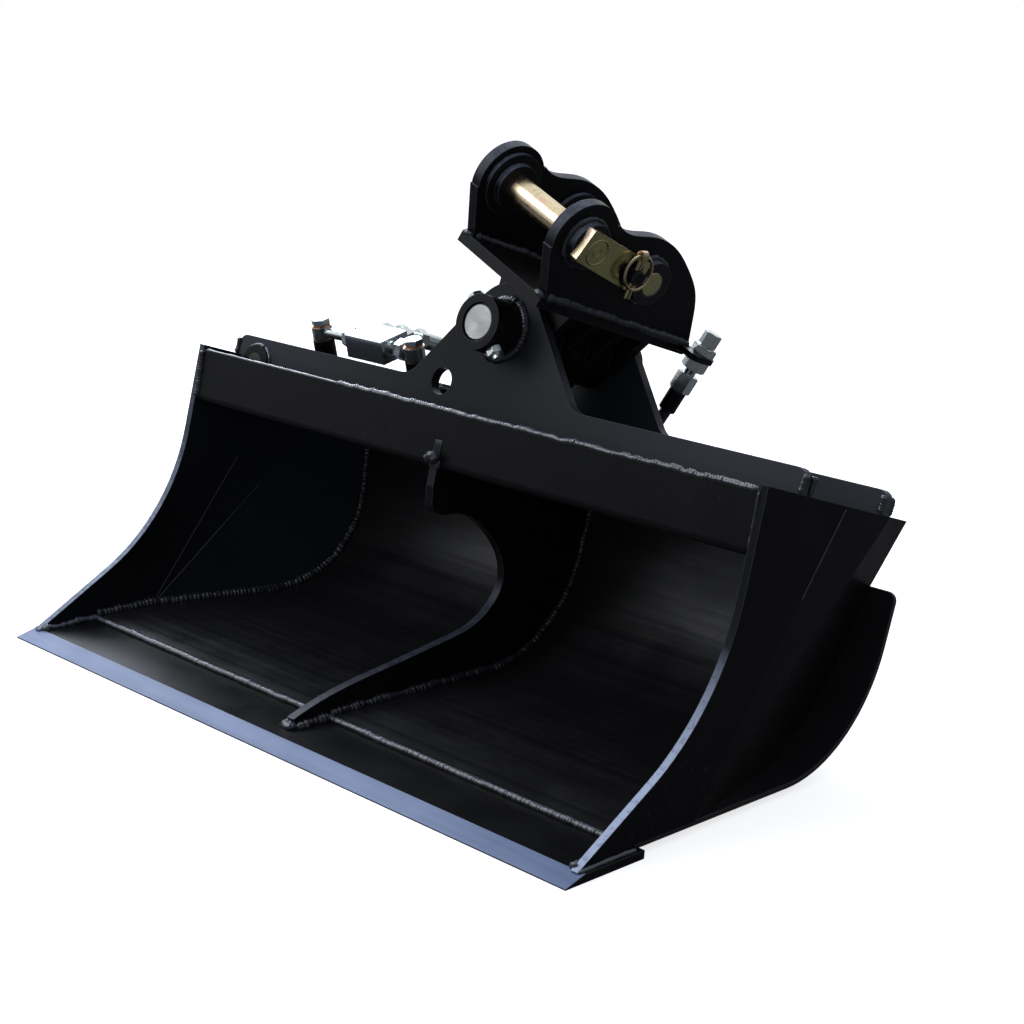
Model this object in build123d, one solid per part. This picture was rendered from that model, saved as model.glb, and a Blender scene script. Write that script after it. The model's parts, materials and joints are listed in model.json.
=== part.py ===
from build123d import *
from math import atan2, cos, degrees, pi, radians, sin, sqrt, tan
import os

# Tilt grading bucket, in millimetres. X is to the right, Y to the back, Z up.
# Heights are above the underside of the cutting edge, and depths in the
# profiles below are measured back from its tip. The part is moved forward by
# origin_depth at the end, so that its origin is the middle of its base.
origin_depth = 342.0

# Bucket body
bucket_width = 1000.0
blade_overhang = 6.0
blade_depth = 125.0
blade_thickness = 10.0
bevel_depth = 30.0
tip_thickness = 1.5
shell_inset = 2.0
shell_thickness = 6.0
shell_lap = 9.0
shell_corner_depth = 530.0
shell_back_angle = 75.0
shell_bend_radius = 180.0
shell_top_height = 214.0
shell_end_radius = 12.0
skid_offset = 300.0
skid_thickness = 16.0
skid_end = 470.0
skid_slope = 70.0
side_thickness = 10.0
side_toe_depth = 24.0
side_knee = (246.0, 142.0)
side_knee_radius = 285.0
side_top_front = (295.0, 385.0)
side_top_length = 362.0
deck_slope = 15.5
taper_start = (210.0, 12.0)
first_fold_angle = 53.5
second_fold_angle = 40.0
first_fold_rate = 0.10
second_fold_rate = 0.25

# Top box and deck. Rises are measured square to the sloping deck, from the
# top edge of the beam, and backs along the slope from the side plates' corner.
beam_drop = 6.5
beam_height = 73.0
beam_lean = 6.0
beam_plate = 10.0
beam_box_depth = 74.0
deck_depth = 50.0
deck_plate = 6.0
rib_thickness = 12.0
rib_toe = (59.0, 22.0)
rib_throat = ((138.0, 45.0), (236.0, 61.0), (315.0, 74.0), (369.0, 88.0), (413.0, 134.0), (372.0, 216.0))
rib_hook = (300.0, 243.0)
rib_nose_height = 342.0
rib_nose_cover = 6.0

# Pivot plates and tilt pivot
front_plate_back = 68.0
rear_plate_back = 255.0
pivot_plate = 15.0
plate_overhang = 2.0
plate_rise = 36.0
plate_end_radius = 14.0
peak_radius = 61.0
peak_slant = 51.0
slant_radius = 32.0
tilt_rise = 118.0
hand_hole = (-84.0, 36.0)
hand_hole_diameter = 36.0
pivot_pin_diameter = 50.0
pivot_boss_diameter = 72.0
front_boss_length = 50.0
rear_boss_length = 48.0
pin_recess = 2.0
pin_chamfer = 3.0
lock_bolt_diameter = 12.0
lock_bolt_angle = 131.0
lock_bolt_inset = 17.0
lock_head_size = 19.0
lock_head_height = 8.0
lock_nut_height = 10.0

# Tilting head. Measured from the tilt axis, before the head is turned.
rest_tilt = 22.4
head_half_width = 85.0
ear_thickness = 15.0
base_top = 83.0
base_thickness = 15.0
base_front = 2.0
base_rear = 308.0
hitch_pin_diameter = 35.0
front_hitch = (20.0, 164.0)
rear_hitch = (158.0, 147.0)
front_lobe_radius = 51.0
inner_boss_diameters = (84.0, 60.0)
inner_boss_steps = (6.0, 8.0)
outer_boss_diameter = 60.0
outer_boss_length = 13.0
flag_length = 124.0
flag_width = 44.0
flag_thickness = 12.0
flag_tail = 25.0
stud_distance = 75.0
stud_diameter = 20.0
stud_clearance = 9.0
stud_stand = 16.0
lynch_diameter = 9.0
lynch_stand = 8.0
lynch_lean = 14.0
lynch_top = 24.0
lynch_tip = 32.0
lynch_head = 13.0
lynch_head_width = 9.0
lynch_ring_radius = 22.0
lynch_wire = 4.0
lynch_eye_rise = 4.0
lynch_wire_play = 0.6
hub_diameter = 84.0
bush_wall = 5.0
thrust_washer = 2.0
arm_length = 130.0
arm_thickness = 14.0
arm_eye_radius = 32.0
arm_gap = 38.0
arm_waist = 46.0
arm_shin = 34.0
arm_shin_drop = 60.0
web_thickness = 14.0
web_half_width = 72.0
web_foot_half = 44.0
web_foot_rise = -10.0
bush_length = 60.0

# Cylinder
cylinder_back = 169.0
cylinder_rise = -2.0
anchor_offset = 451.0
anchor_boss_diameter = 54.0
anchor_pin_diameter = 30.0
anchor_boss_proud = 6.0
base_eye_width = 55.0
barrel_diameter = 70.0
bore_diameter = 55.0
barrel_end = -190.0
barrel_base = -422.0
base_wall = 12.0
gland_diameter = 66.0
gland_length = 20.0
gland_depth = 30.0
rod_diameter = 35.0
piston_length = 30.0
piston_start = -384.0
rod_eye_diameter = 50.0
rod_eye_width = 36.0
rod_pin_diameter = 30.0
rod_pin_collar = 62.0
collar_thickness = 6.0
eye_slack = 11.0

# Ports, lock valve block and hoses
port_lean = 31.0
port_diameter = 31.0
port_rise = 69.0
base_port_x = -398.0
gland_port_x = -205.0
banjo_height = 18.0
banjo_diameter = 29.0
copper_thickness = 2.0
copper_diameter = 27.0
banjo_bolt_size = 24.0
banjo_bolt_height = 9.0
banjo_bore = 16.0
banjo_neck = 15.0
block_length = 76.0
block_depth = 51.0
block_height = 34.0
block_start = -319.0
union_size = 27.0
union_gap = 8.0
union_collar = 19.0
elbow_ball = 21.0
elbow_stem = 16.0
hose_diameter = 16.0
ferrule_diameter = 24.0
ferrule_length = 32.0
nut_length = 14.0
adapter_length = 16.0
hose_port_inset = 19.0

# Bulkheads at the rear corners of the head
bulkhead_offset = 102.0
bulkhead_back = 320.0
tab_root = 22.0
tab_margin = 17.0
tab_radius = 11.0
tab_thickness = 8.0
bulkhead_thread = 20.0
bulkhead_nut = 12.0
bulkhead_cap = 20.0
bulkhead_cap_size = 22.0
bulkhead_hex = 30.0
bulkhead_neck = 16.0
bulkhead_neck_length = 8.0
swivel_length = 26.0

# Clearances
running_fit = 0.1
seat_fit = 0.05
side_play = 0.5
hex_chamfer_angle = 30.0

# Values worked out from the sizes above
side_half = bucket_width / 2
blade_width = bucket_width + 2 * blade_overhang
shell_width = bucket_width - 2 * shell_inset
inner_half = side_half - side_thickness
across = Vector(1, 0, 0)
back_way = Vector(0, cos(radians(deck_slope)), -sin(radians(deck_slope)))
rise_way = Vector(0, sin(radians(deck_slope)), cos(radians(deck_slope)))
deck_zero = Vector(0, *side_top_front) - rise_way * beam_drop
shell_front = blade_depth - shell_lap
shell_floor = blade_thickness + shell_thickness
block_radius = port_rise + copper_thickness + banjo_height / 2


# Places and axes

def at(x, back, rise):
    return deck_zero + across * x + back_way * back + rise_way * rise


def cross_plane(back):
    """Plane square to the slope: coordinates are x and rise, normal to the front."""
    return Plane(origin=at(0, back, 0), x_dir=across, z_dir=-back_way)


def long_plane(x):
    """Plane along the slope: coordinates are back and rise, normal to the right."""
    return Plane(origin=at(x, 0, 0), x_dir=back_way, z_dir=across)


def side_plane(x):
    """Upright plane: coordinates are depth and height, normal to the right."""
    return Plane(origin=(x, 0, 0), x_dir=(0, 1, 0), z_dir=across)


tilt_axis = Axis(at(0, 0, tilt_rise), back_way)


def tilted(shape):
    return shape.rotate(tilt_axis, rest_tilt)


def head_at(x, back, rise):
    """Place on the head before it is turned, measured from the tilt axis."""
    return at(x, back, rise + tilt_rise)


def turned(vector):
    return vector.rotate(Axis((0, 0, 0), back_way), rest_tilt)


# Basic shapes

def outline(*points):
    return make_face(Polyline(*points, close=True))


def corner(face, point):
    return face.vertices().sort_by_distance(Vertex(*point, 0))[0]


def rounded(face, point, radius):
    return fillet(corner(face, point), radius)


def plate(sketch, front, thickness):
    """Plate square to the slope, from its front face backwards."""
    return extrude(cross_plane(front + thickness) * sketch, amount=thickness)


def upright(sketch, left, thickness):
    return extrude(side_plane(left) * sketch, amount=thickness)


def disc(start, way, radius, length):
    way = way.normalized()
    return extrude(Plane(origin=start, z_dir=way) * Circle(radius), amount=length)


def ring(start, way, outer, inner, length):
    way = way.normalized()
    return extrude(Plane(origin=start, z_dir=way) * (Circle(outer) - Circle(inner)), amount=length)


def hexagon(start, way, size, length):
    """Hexagon bar, size across its flats, with its corners turned down at both ends."""
    frame = Plane(origin=start, z_dir=way.normalized())
    bar = extrude(frame * RegularPolygon(size / 2, 6, major_radius=False), amount=length)
    corner_radius = size / sqrt(3)
    turned_down = corner_radius - 0.98 * size / 2
    step = turned_down * tan(radians(hex_chamfer_angle))
    profile = Polyline((0, 0), (corner_radius - turned_down, 0), (corner_radius, step),
                       (corner_radius, length - step), (corner_radius - turned_down, length), (0, length),
                       close=True)
    return bar & (frame * revolve(Plane.XZ * make_face(profile), axis=Axis.Z))


def one_solid(shape):
    """The largest solid of a cut shape."""
    return shape.solids().sort_by(SortBy.VOLUME)[-1]


# Profiles of the bucket

def shell_back_way():
    return (cos(radians(shell_back_angle)), sin(radians(shell_back_angle)))


def shell_top(offset=0.0):
    """End of the shell's inner face, or a point that far outside it."""
    along, up = shell_back_way()
    depth = shell_corner_depth + (shell_top_height - shell_floor) / tan(radians(shell_back_angle))
    return (depth + offset * up, shell_top_height - offset * along)


def shell_outer_corner():
    return (shell_corner_depth + shell_thickness * tan(radians(shell_back_angle / 2)), blade_thickness)


def shell_sketch():
    inner = (shell_corner_depth, shell_floor)
    outer = shell_outer_corner()
    face = outline((shell_front, blade_thickness), outer, shell_top(shell_thickness), shell_top(), inner,
                   (shell_front, shell_floor))
    face = rounded(face, inner, shell_bend_radius)
    return rounded(face, outer, shell_bend_radius + shell_thickness)


def side_rear_top():
    point = Vector(0, *side_top_front) + back_way * side_top_length
    return (point.Y, point.Z)


def inside_sketch():
    """Outline of a side plate: the inside of the bucket seen from the end."""
    inner = (shell_corner_depth, shell_floor)
    face = outline((side_toe_depth, blade_thickness), (shell_front, blade_thickness),
                   (shell_front, shell_floor), inner, shell_top(), side_rear_top(), side_top_front, side_knee)
    face = rounded(face, inner, shell_bend_radius)
    return rounded(face, side_knee, side_knee_radius)


def fold_normal(angle):
    return Vector(0, sin(radians(angle)), -cos(radians(angle)))


def folded_block(half):
    """Everything between the two folded sides, with that half width at the front."""
    apex = Vector(0, *taper_start)
    first = fold_normal(first_fold_angle) * first_fold_rate
    second = first + fold_normal(second_fold_angle) * second_fold_rate
    block = Pos(0, 400, 250) * Box(2 * half, 1000, 700)
    for hand in (1, -1):
        for lean in (first, second):
            way = Vector(hand, lean.Y, lean.Z)
            block = split(block, bisect_by=Plane(origin=apex + across * hand * half, z_dir=way),
                          keep=Keep.BOTTOM)
    return block


inner_block = folded_block(inner_half)
outer_block = folded_block(side_half)


# Bucket body pieces

def cutting_edge():
    face = outline((0, 0), (blade_depth, 0), (blade_depth, blade_thickness),
                   (bevel_depth, blade_thickness), (0, tip_thickness))
    return upright(face, -blade_width / 2, blade_width)


def shell():
    body = upright(shell_sketch(), -shell_width / 2, shell_width)
    corners = body.edges().filter_by(lambda e: e.length < 1.1 * shell_thickness and e.center().Z > 150)
    return fillet(corners, shell_end_radius)


def heel_skid(x):
    """Runner plate under the shell, from the blade back, level with the blade's underside."""
    rise = shell_top_height / 2
    face = outline((blade_depth, 0), (skid_end, 0), (skid_end + rise / tan(radians(skid_slope)), rise),
                   (blade_depth, rise))
    outer = shell_outer_corner()
    above = outline((blade_depth - 1, blade_thickness), outer, shell_top(shell_thickness),
                    (blade_depth - 1, shell_top(shell_thickness)[1]))
    above = rounded(above, outer, shell_bend_radius + shell_thickness)
    return one_solid(upright(face - above, x - skid_thickness / 2, skid_thickness))


def heel_skids():
    return Compound(children=[heel_skid(-skid_offset), heel_skid(skid_offset)])


def side_plate(hand):
    left = inner_half - 80 if hand > 0 else -side_half
    body = upright(inside_sketch(), left, side_half - inner_half + 80)
    return one_solid((body & outer_block) - inner_block)


def beam_foot():
    """Bottom front corner of the beam, as back and rise."""
    lean = tan(radians(beam_lean))
    return (beam_height * lean, -beam_height)


def beam_sketch(wall):
    """Section of the beam in back and rise: a front plate and its returned foot."""
    foot = beam_foot()
    top_rear = beam_plate / cos(radians(beam_lean))
    under_deck = -deck_depth - deck_plate
    heel = (foot[0] + beam_box_depth, under_deck)
    face = outline((0, 0), foot, (heel[0] - 14, foot[1]), heel, (foot[0], under_deck), (top_rear, 0))
    face = rounded(face, foot, wall)
    hollow_foot = foot[1] + deck_plate
    hollow = outline((foot[0] + top_rear, hollow_foot), (heel[0] - 20, hollow_foot),
                     (heel[0] - 14, under_deck), (foot[0] + top_rear - 1, under_deck))
    return face - hollow


def top_beam():
    body = extrude(long_plane(-side_half) * beam_sketch(beam_plate), amount=bucket_width)
    return one_solid(body & inner_block)


def deck_sketch():
    """Section of the deck in depth and height, with its flange down to the shell."""
    beam_rear = beam_plate / cos(radians(beam_lean)) + deck_depth * tan(radians(beam_lean))
    start = at(0, beam_rear, -deck_depth)
    rear = Vector(0, *side_rear_top())
    toe = Vector(0, *shell_top())
    way = (rear - toe).normalized()
    turn = rear - way * ((rear - start).dot(rise_way) / way.dot(rise_way))
    inward = Vector(0, -way.Z, way.Y)
    under = start - rise_way * deck_plate
    shift = (deck_plate - inward.dot(rise_way) * -deck_plate) / way.dot(rise_way)
    inner_turn = turn + inward * deck_plate - way * shift
    points = (start, turn, toe - way * 3, toe - way * 3 + inward * deck_plate, inner_turn, under)
    return outline(*((p.Y, p.Z) for p in points))


def deck():
    body = upright(deck_sketch(), -side_half, bucket_width)
    return one_solid((body & inner_block) - shell_body)


def rib_sketch():
    """Outline of the centre rib, open at the back, before it is fitted to its neighbours."""
    foot = at(0, *beam_foot())
    throat_top = (foot.Y - 7, foot.Z - 42)
    nose = (foot.Y - rib_nose_cover + 12, rib_nose_height)
    curve = Spline(rib_toe, *rib_throat, rib_hook)
    hook = Spline(rib_hook, (281, 250), throat_top, tangents=((-0.98, 0.2), (0, 1)))
    front = Polyline(throat_top, (foot.Y - rib_nose_cover, foot.Z), nose, (nose[0] + 40, nose[1]), (700, 220),
                     (700, 0), (rib_toe[0], 0), rib_toe)
    return make_face([*curve.edges(), *hook.edges(), *front.edges()])


def centre_rib():
    body = upright(rib_sketch(), -rib_thickness / 2, rib_thickness)
    body = body & upright(inside_sketch(), -rib_thickness / 2, rib_thickness)
    foot = beam_foot()
    top_rear = beam_plate / cos(radians(beam_lean))
    under_deck = -deck_depth - deck_plate
    above = outline((0, 0), foot, (foot[0] + beam_box_depth - 14, foot[1]), (foot[0] + beam_box_depth, under_deck),
                    (500, under_deck), (500, 80), (0, 80))
    above = rounded(above, foot, beam_plate)
    keep_out = extrude(long_plane(-rib_thickness) * above, amount=2 * rib_thickness)
    return one_solid(body - keep_out - deck_body)


# Pivot plates

def pivot_plate_sketch(half):
    """Outline of a pivot plate in x and rise: a wide strip with a peak round the tilt axis."""
    way = Vector(cos(radians(peak_slant)), sin(radians(peak_slant)))
    touch = Vector(-sin(radians(peak_slant)), cos(radians(peak_slant))) * peak_radius + Vector(0, tilt_rise)
    foot = touch - way * ((touch.Y - plate_rise) / way.Y)
    strip = outline((-half, beam_drop), (half, beam_drop), (half, plate_rise), (-half, plate_rise))
    for end in (-half, half):
        strip = rounded(strip, (end, plate_rise), plate_end_radius)
    web = outline((foot.X, plate_rise), (touch.X, touch.Y), (0, tilt_rise), (-touch.X, touch.Y),
                  (-foot.X, plate_rise), (-foot.X, 0), (foot.X, 0))
    face = strip + web + Pos(0, tilt_rise) * Circle(peak_radius)
    for x in (foot.X, -foot.X):
        face = rounded(face, (x, plate_rise), slant_radius)
    return face


def pivot_plate_body(back, half):
    upper = plate(pivot_plate_sketch(half), back, pivot_plate)
    lower = plate(outline((-side_half, -deck_depth), (side_half, -deck_depth), (side_half, beam_drop),
                          (-side_half, beam_drop)), back, pivot_plate)
    body = upper + (lower & inner_block)
    for x, rise, diameter in ((0, tilt_rise, pivot_pin_diameter + 2 * seat_fit),
                              (hand_hole[0], hand_hole[1], hand_hole_diameter),
                              (-anchor_offset, cylinder_rise, anchor_boss_diameter + 2 * seat_fit)):
        body -= disc(at(x, back - 1, rise), back_way, diameter / 2, pivot_plate + 2)
    return one_solid(body)


def side_inset(back):
    """How far the outer face of a side plate has come in, at its top edge."""
    point = Vector(0, *side_top_front) + back_way * back - Vector(0, *taper_start)
    first = max(0, point.dot(fold_normal(first_fold_angle))) * first_fold_rate
    return first + max(0, point.dot(fold_normal(second_fold_angle))) * second_fold_rate


def front_pivot_plate():
    return pivot_plate_body(front_plate_back, side_half - plate_overhang)


def rear_pivot_plate():
    return pivot_plate_body(rear_plate_back, side_half - side_inset(rear_plate_back) + plate_overhang)


def pivot_boss(start, length):
    return ring(at(0, start, tilt_rise), back_way, pivot_boss_diameter / 2,
                pivot_pin_diameter / 2 + seat_fit, length)


def lock_way():
    return across * cos(radians(lock_bolt_angle)) + rise_way * sin(radians(lock_bolt_angle))


def lock_centre():
    return at(0, front_plate_back - front_boss_length + lock_bolt_inset, tilt_rise)


def lock_bore(radius):
    reach = pivot_boss_diameter
    return disc(lock_centre() - lock_way() * reach, lock_way(), radius, 2 * reach)


def front_pivot_boss():
    body = pivot_boss(front_plate_back - front_boss_length, front_boss_length)
    return body - lock_bore(lock_bolt_diameter / 2 + seat_fit)


def rear_pivot_boss():
    return pivot_boss(rear_plate_back + pivot_plate, rear_boss_length)


def pivot_pin():
    start = front_plate_back - front_boss_length + pin_recess
    end = rear_plate_back + pivot_plate + rear_boss_length - pin_recess
    body = disc(at(0, start, tilt_rise), back_way, pivot_pin_diameter / 2, end - start)
    body = chamfer(body.edges().filter_by(GeomType.CIRCLE), pin_chamfer)
    return body - lock_bore(lock_bolt_diameter / 2 + seat_fit)


def lock_seat():
    """Distance from the tilt axis to the flats under the lock bolt's head and nut."""
    return pivot_boss_diameter / 2 + 1.0


def pivot_lock_bolt():
    way = lock_way()
    seat = lock_centre() + way * lock_seat()
    head = hexagon(seat, way, lock_head_size, lock_head_height)
    reach = 2 * lock_seat() + lock_nut_height + 6
    return head + disc(seat, -way, lock_bolt_diameter / 2, reach)


def pivot_lock_nut():
    way = -lock_way()
    seat = lock_centre() + way * lock_seat()
    nut = hexagon(seat, way, lock_head_size, lock_nut_height)
    return nut - disc(seat - way, way, lock_bolt_diameter / 2 + seat_fit, lock_nut_height + 2)


# Cylinder anchor on the pivot plates

def anchor_ends():
    front = front_plate_back - anchor_boss_proud
    rear = rear_plate_back + pivot_plate + anchor_boss_proud
    gap_front = cylinder_back - base_eye_width / 2 - side_play
    gap_rear = cylinder_back + base_eye_width / 2 + side_play
    return front, gap_front, gap_rear, rear


def anchor_boss(start, end):
    return ring(at(-anchor_offset, start, cylinder_rise), back_way, anchor_boss_diameter / 2,
                anchor_pin_diameter / 2 + seat_fit, end - start)


def anchor_pin():
    front, _, _, rear = anchor_ends()
    return disc(at(-anchor_offset, front, cylinder_rise), back_way, anchor_pin_diameter / 2, rear - front)


# Cylinder

def cylinder_at(x, back=0.0, rise=0.0):
    return at(x, cylinder_back + back, cylinder_rise + rise)


def port_way():
    return rise_way * cos(radians(port_lean)) - back_way * sin(radians(port_lean))


def block_way():
    """Along the depth of the valve block, backwards and up, square to the ports."""
    return back_way * cos(radians(port_lean)) + rise_way * sin(radians(port_lean))


def port_at(x, radius):
    return cylinder_at(x) + port_way() * radius


def cylinder_barrel():
    eye_start = cylinder_at(-anchor_offset) - back_way * (base_eye_width / 2)
    bore_start = barrel_base + base_wall
    body = disc(cylinder_at(barrel_base), across, barrel_diameter / 2, barrel_end - barrel_base)
    body += disc(cylinder_at(-anchor_offset), across, base_eye_width / 2 - 5, anchor_offset + barrel_base + 1)
    body += disc(eye_start, back_way, anchor_boss_diameter / 2, base_eye_width)
    body -= disc(cylinder_at(bore_start), across, bore_diameter / 2, barrel_end - bore_start + 1)
    body -= disc(eye_start - back_way, back_way, anchor_pin_diameter / 2 + running_fit, base_eye_width + 2)
    return one_solid(body)


def gland():
    collar = disc(cylinder_at(barrel_end), across, gland_diameter / 2, gland_length)
    collar = chamfer(collar.edges().filter_by(GeomType.CIRCLE).sort_by(Axis.X)[-1], 3)
    body = collar + disc(cylinder_at(barrel_end - gland_depth), across, bore_diameter / 2 - seat_fit, gland_depth)
    length = gland_length + gland_depth
    return body - disc(cylinder_at(barrel_end - gland_depth - 1), across, rod_diameter / 2 + running_fit, length + 2)


def port_bosses():
    tube = disc(cylinder_at(barrel_base - port_diameter), across, barrel_diameter / 2,
                barrel_end - barrel_base + 2 * port_diameter)
    bosses = []
    for x in (base_port_x, gland_port_x):
        body = disc(cylinder_at(x), port_way(), port_diameter / 2, port_rise)
        bosses.append(one_solid(body - tube))
    return Compound(children=bosses)


def banjo_base(level=0.0):
    return port_rise + copper_thickness + level


def each_port(make):
    return Compound(children=[make(x) for x in (base_port_x, gland_port_x)])


def copper_washers():
    rings = []
    for x in (base_port_x, gland_port_x):
        for radius in (port_rise, banjo_base(banjo_height)):
            rings.append(ring(port_at(x, radius), port_way(), copper_diameter / 2, banjo_bore / 2,
                              copper_thickness))
    return Compound(children=rings)


def banjo(x):
    """Round banjo head with its neck towards the valve block."""
    head = disc(port_at(x, banjo_base()), port_way(), banjo_diameter / 2, banjo_height)
    towards = across if x < block_start else -across
    face = block_start if x < block_start else block_start + block_length
    neck_end = face - towards.X * (nut_length + union_gap)
    centre = port_at(x, block_radius)
    neck = disc(centre, towards, banjo_neck / 2, abs(neck_end - x))
    head += neck
    hole = disc(port_at(x, banjo_base() - 1), port_way(), banjo_bore / 2, banjo_height + 2)
    return one_solid(head - hole)


def banjo_bolt(x):
    top = banjo_base(banjo_height + copper_thickness)
    head = hexagon(port_at(x, top), port_way(), banjo_bolt_size, banjo_bolt_height)
    return head + disc(port_at(x, port_rise), port_way(), banjo_bore / 2 - seat_fit, top - port_rise)


def union_nut(x):
    """Union nut and collar between a banjo's neck and the end of the valve block."""
    towards = across if x < block_start else -across
    face = block_start if x < block_start else block_start + block_length
    start = Vector(face - towards.X * (nut_length + union_gap), 0, 0)
    centre = port_at(start.X, block_radius)
    collar = disc(centre, towards, union_collar / 2, nut_length + union_gap)
    return hexagon(centre, towards, union_size, nut_length) + collar


def block_centre():
    return port_at(block_start + block_length / 2, block_radius)


def valve_block():
    frame = Plane(origin=block_centre(), x_dir=across, z_dir=port_way())
    body = frame * Box(block_length, block_depth, block_height)
    body = chamfer(body.edges(), 1.0)
    return body


def hose_port_xs():
    return (block_start + hose_port_inset, block_start + block_length - hose_port_inset)


def hose_port(x):
    """Foot of a hose fitting on the back face of the valve block."""
    return port_at(x, block_radius) + block_way() * (block_depth / 2)


def hose_bend_centre(x):
    return hose_port(x) + block_way() * adapter_length


def hose_adapters():
    """Elbow fittings from the back of the block, which turn their hoses straight back."""
    bodies = []
    for x in hose_port_xs():
        hexed = hexagon(hose_port(x), block_way(), union_size, adapter_length)
        ball = Pos(*hose_bend_centre(x)) * Sphere(elbow_ball / 2)
        stem = disc(hose_bend_centre(x), back_way, elbow_stem / 2, adapter_length)
        bodies.append(one_solid(hexed + ball + stem))
    return Compound(children=bodies)


def hose_start(x):
    return hose_bend_centre(x) + back_way * (adapter_length + nut_length + ferrule_length)


def hose_end_fitting(foot, way):
    """Swivel nut and crimped ferrule, from the adapter's end to the hose."""
    nut = hexagon(foot, way, union_size, nut_length)
    sleeve = disc(foot + way * nut_length, way, ferrule_diameter / 2, ferrule_length)
    return nut + sleeve


def block_hose_fittings():
    bodies = []
    for x in hose_port_xs():
        bodies.append(hose_end_fitting(hose_bend_centre(x) + back_way * adapter_length, back_way))
    return Compound(children=bodies)


# Rod

def rod_pin_place():
    angle = radians(rest_tilt)
    return at(-arm_length * sin(angle), cylinder_back, cylinder_rise)


def piston_rod():
    eye = rod_pin_place()
    start = piston_start + piston_length
    length = eye.X - rod_eye_diameter / 2 + 6 - start
    body = disc(cylinder_at(start), across, rod_diameter / 2, length)
    return body - disc(eye - back_way * rod_eye_width, back_way, rod_eye_diameter / 2, 2 * rod_eye_width)


def piston():
    return disc(cylinder_at(piston_start), across, bore_diameter / 2 - running_fit, piston_length)


def rod_eye():
    eye = rod_pin_place()
    start = eye - back_way * (rod_eye_width / 2)
    body = disc(start, back_way, rod_eye_diameter / 2, rod_eye_width)
    return body - disc(start - back_way, back_way, rod_pin_diameter / 2 + seat_fit, rod_eye_width + 2)


def rod_pin_half():
    return arm_gap / 2 + arm_thickness + side_play


def rod_pin():
    start = rod_pin_place() - back_way * (rod_pin_half() + collar_thickness)
    return disc(start, back_way, rod_pin_diameter / 2, 2 * (rod_pin_half() + collar_thickness))


def rod_pin_collars():
    bodies = []
    for hand in (-1, 1):
        start = rod_pin_place() + back_way * (hand * rod_pin_half())
        way = back_way * hand
        bodies.append(ring(start, way, rod_pin_collar / 2, rod_pin_diameter / 2 + seat_fit, collar_thickness))
    return Compound(children=bodies)


# Tilting head, made upright and then turned to its rest angle

def ear_sketch():
    """Outline of an ear in back and rise, with a lobe round each hitch pin."""
    foot_front = (front_hitch[0] - 10, base_top)
    lobe = Pos(*front_hitch) * Circle(front_lobe_radius)
    crown = Spline((62, 199), (96, 194.5), (130, 201.5), (175, 199), (222, 179), (262, 152), (290, 113),
                   (base_rear, base_top))
    cheek = Polyline((base_rear, base_top), foot_front, (-29, 143), front_hitch, (62, 199))
    body = make_face([*crown.edges(), *cheek.edges()])
    return body + lobe


def hitch_bores(diameter, start, length):
    bores = []
    for back, rise in (front_hitch, rear_hitch):
        bores.append(disc(head_at(start, back, rise), across, diameter / 2, length))
    return bores


def ear(hand):
    left = head_half_width - ear_thickness if hand > 0 else -head_half_width
    frame = Plane(origin=head_at(left, 0, 0), x_dir=back_way, z_dir=across)
    body = extrude(frame * ear_sketch(), amount=ear_thickness)
    for bore in hitch_bores(hitch_pin_diameter + 2 * seat_fit, left - 1, ear_thickness + 2):
        body -= bore
    return tilted(one_solid(body))


def inner_bosses(hand):
    """Stepped boss rings on the inner face of an ear."""
    face = hand * (head_half_width - ear_thickness)
    way = across * -hand
    bodies = []
    for back, rise in (front_hitch, rear_hitch):
        centre = head_at(face, back, rise)
        body = disc(centre, way, inner_boss_diameters[0] / 2, inner_boss_steps[0])
        body += disc(centre, way, inner_boss_diameters[1] / 2, sum(inner_boss_steps))
        body -= disc(centre - way, way, hitch_pin_diameter / 2 + seat_fit, sum(inner_boss_steps) + 2)
        bodies.append(body)
    floor = Plane(origin=head_at(0, 0, base_top), x_dir=across, z_dir=rise_way)
    cut = [one_solid(split(body, bisect_by=floor, keep=Keep.TOP)) for body in bodies]
    return tilted(Compound(children=cut))


def outer_bosses(hand):
    way = across * hand
    bodies = []
    for back, rise in (front_hitch, rear_hitch):
        centre = head_at(hand * head_half_width, back, rise)
        bodies.append(ring(centre, way, outer_boss_diameter / 2, hitch_pin_diameter / 2 + seat_fit,
                           outer_boss_length))
    return tilted(Compound(children=bodies))


def flag_ends(hand):
    """The pin that a flag plate holds, and the way from it to the stud, on one side."""
    here, there = (front_hitch, rear_hitch) if hand > 0 else (rear_hitch, front_hitch)
    pin = head_at(hand * (head_half_width + outer_boss_length), *here)
    other = head_at(hand * (head_half_width + outer_boss_length), *there)
    return pin, (other - pin).normalized()


def stud_centre(hand):
    pin, way = flag_ends(hand)
    return pin + way * stud_distance


def hitch_pin(hand):
    """Hitch pin with its flag plate on that side, and a plain end on the other."""
    pin, way = flag_ends(hand)
    out = across * hand
    far = 2 * (head_half_width + outer_boss_length)
    body = disc(pin - out * far, out, hitch_pin_diameter / 2, far)
    body = chamfer(body.faces().sort_by(Axis.X)[0 if hand > 0 else -1].edges(), 2)
    frame = Plane(origin=pin + way * (flag_length / 2 - flag_tail), x_dir=way, z_dir=out)
    flag = extrude(frame * RectangleRounded(flag_length, flag_width, 3), amount=flag_thickness)
    flag -= disc(stud_centre(hand) - out, out, stud_diameter / 2 + stud_clearance, flag_thickness + 2)
    return tilted(body + flag)


def lynch_place(hand):
    """Where the lynch pin crosses the stud."""
    return stud_centre(hand) + across * hand * (flag_thickness + lynch_stand)


def lynch_way():
    """The lynch pins point down, across the plates."""
    return -(rise_way * cos(radians(lynch_lean)) - back_way * sin(radians(lynch_lean)))


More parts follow.
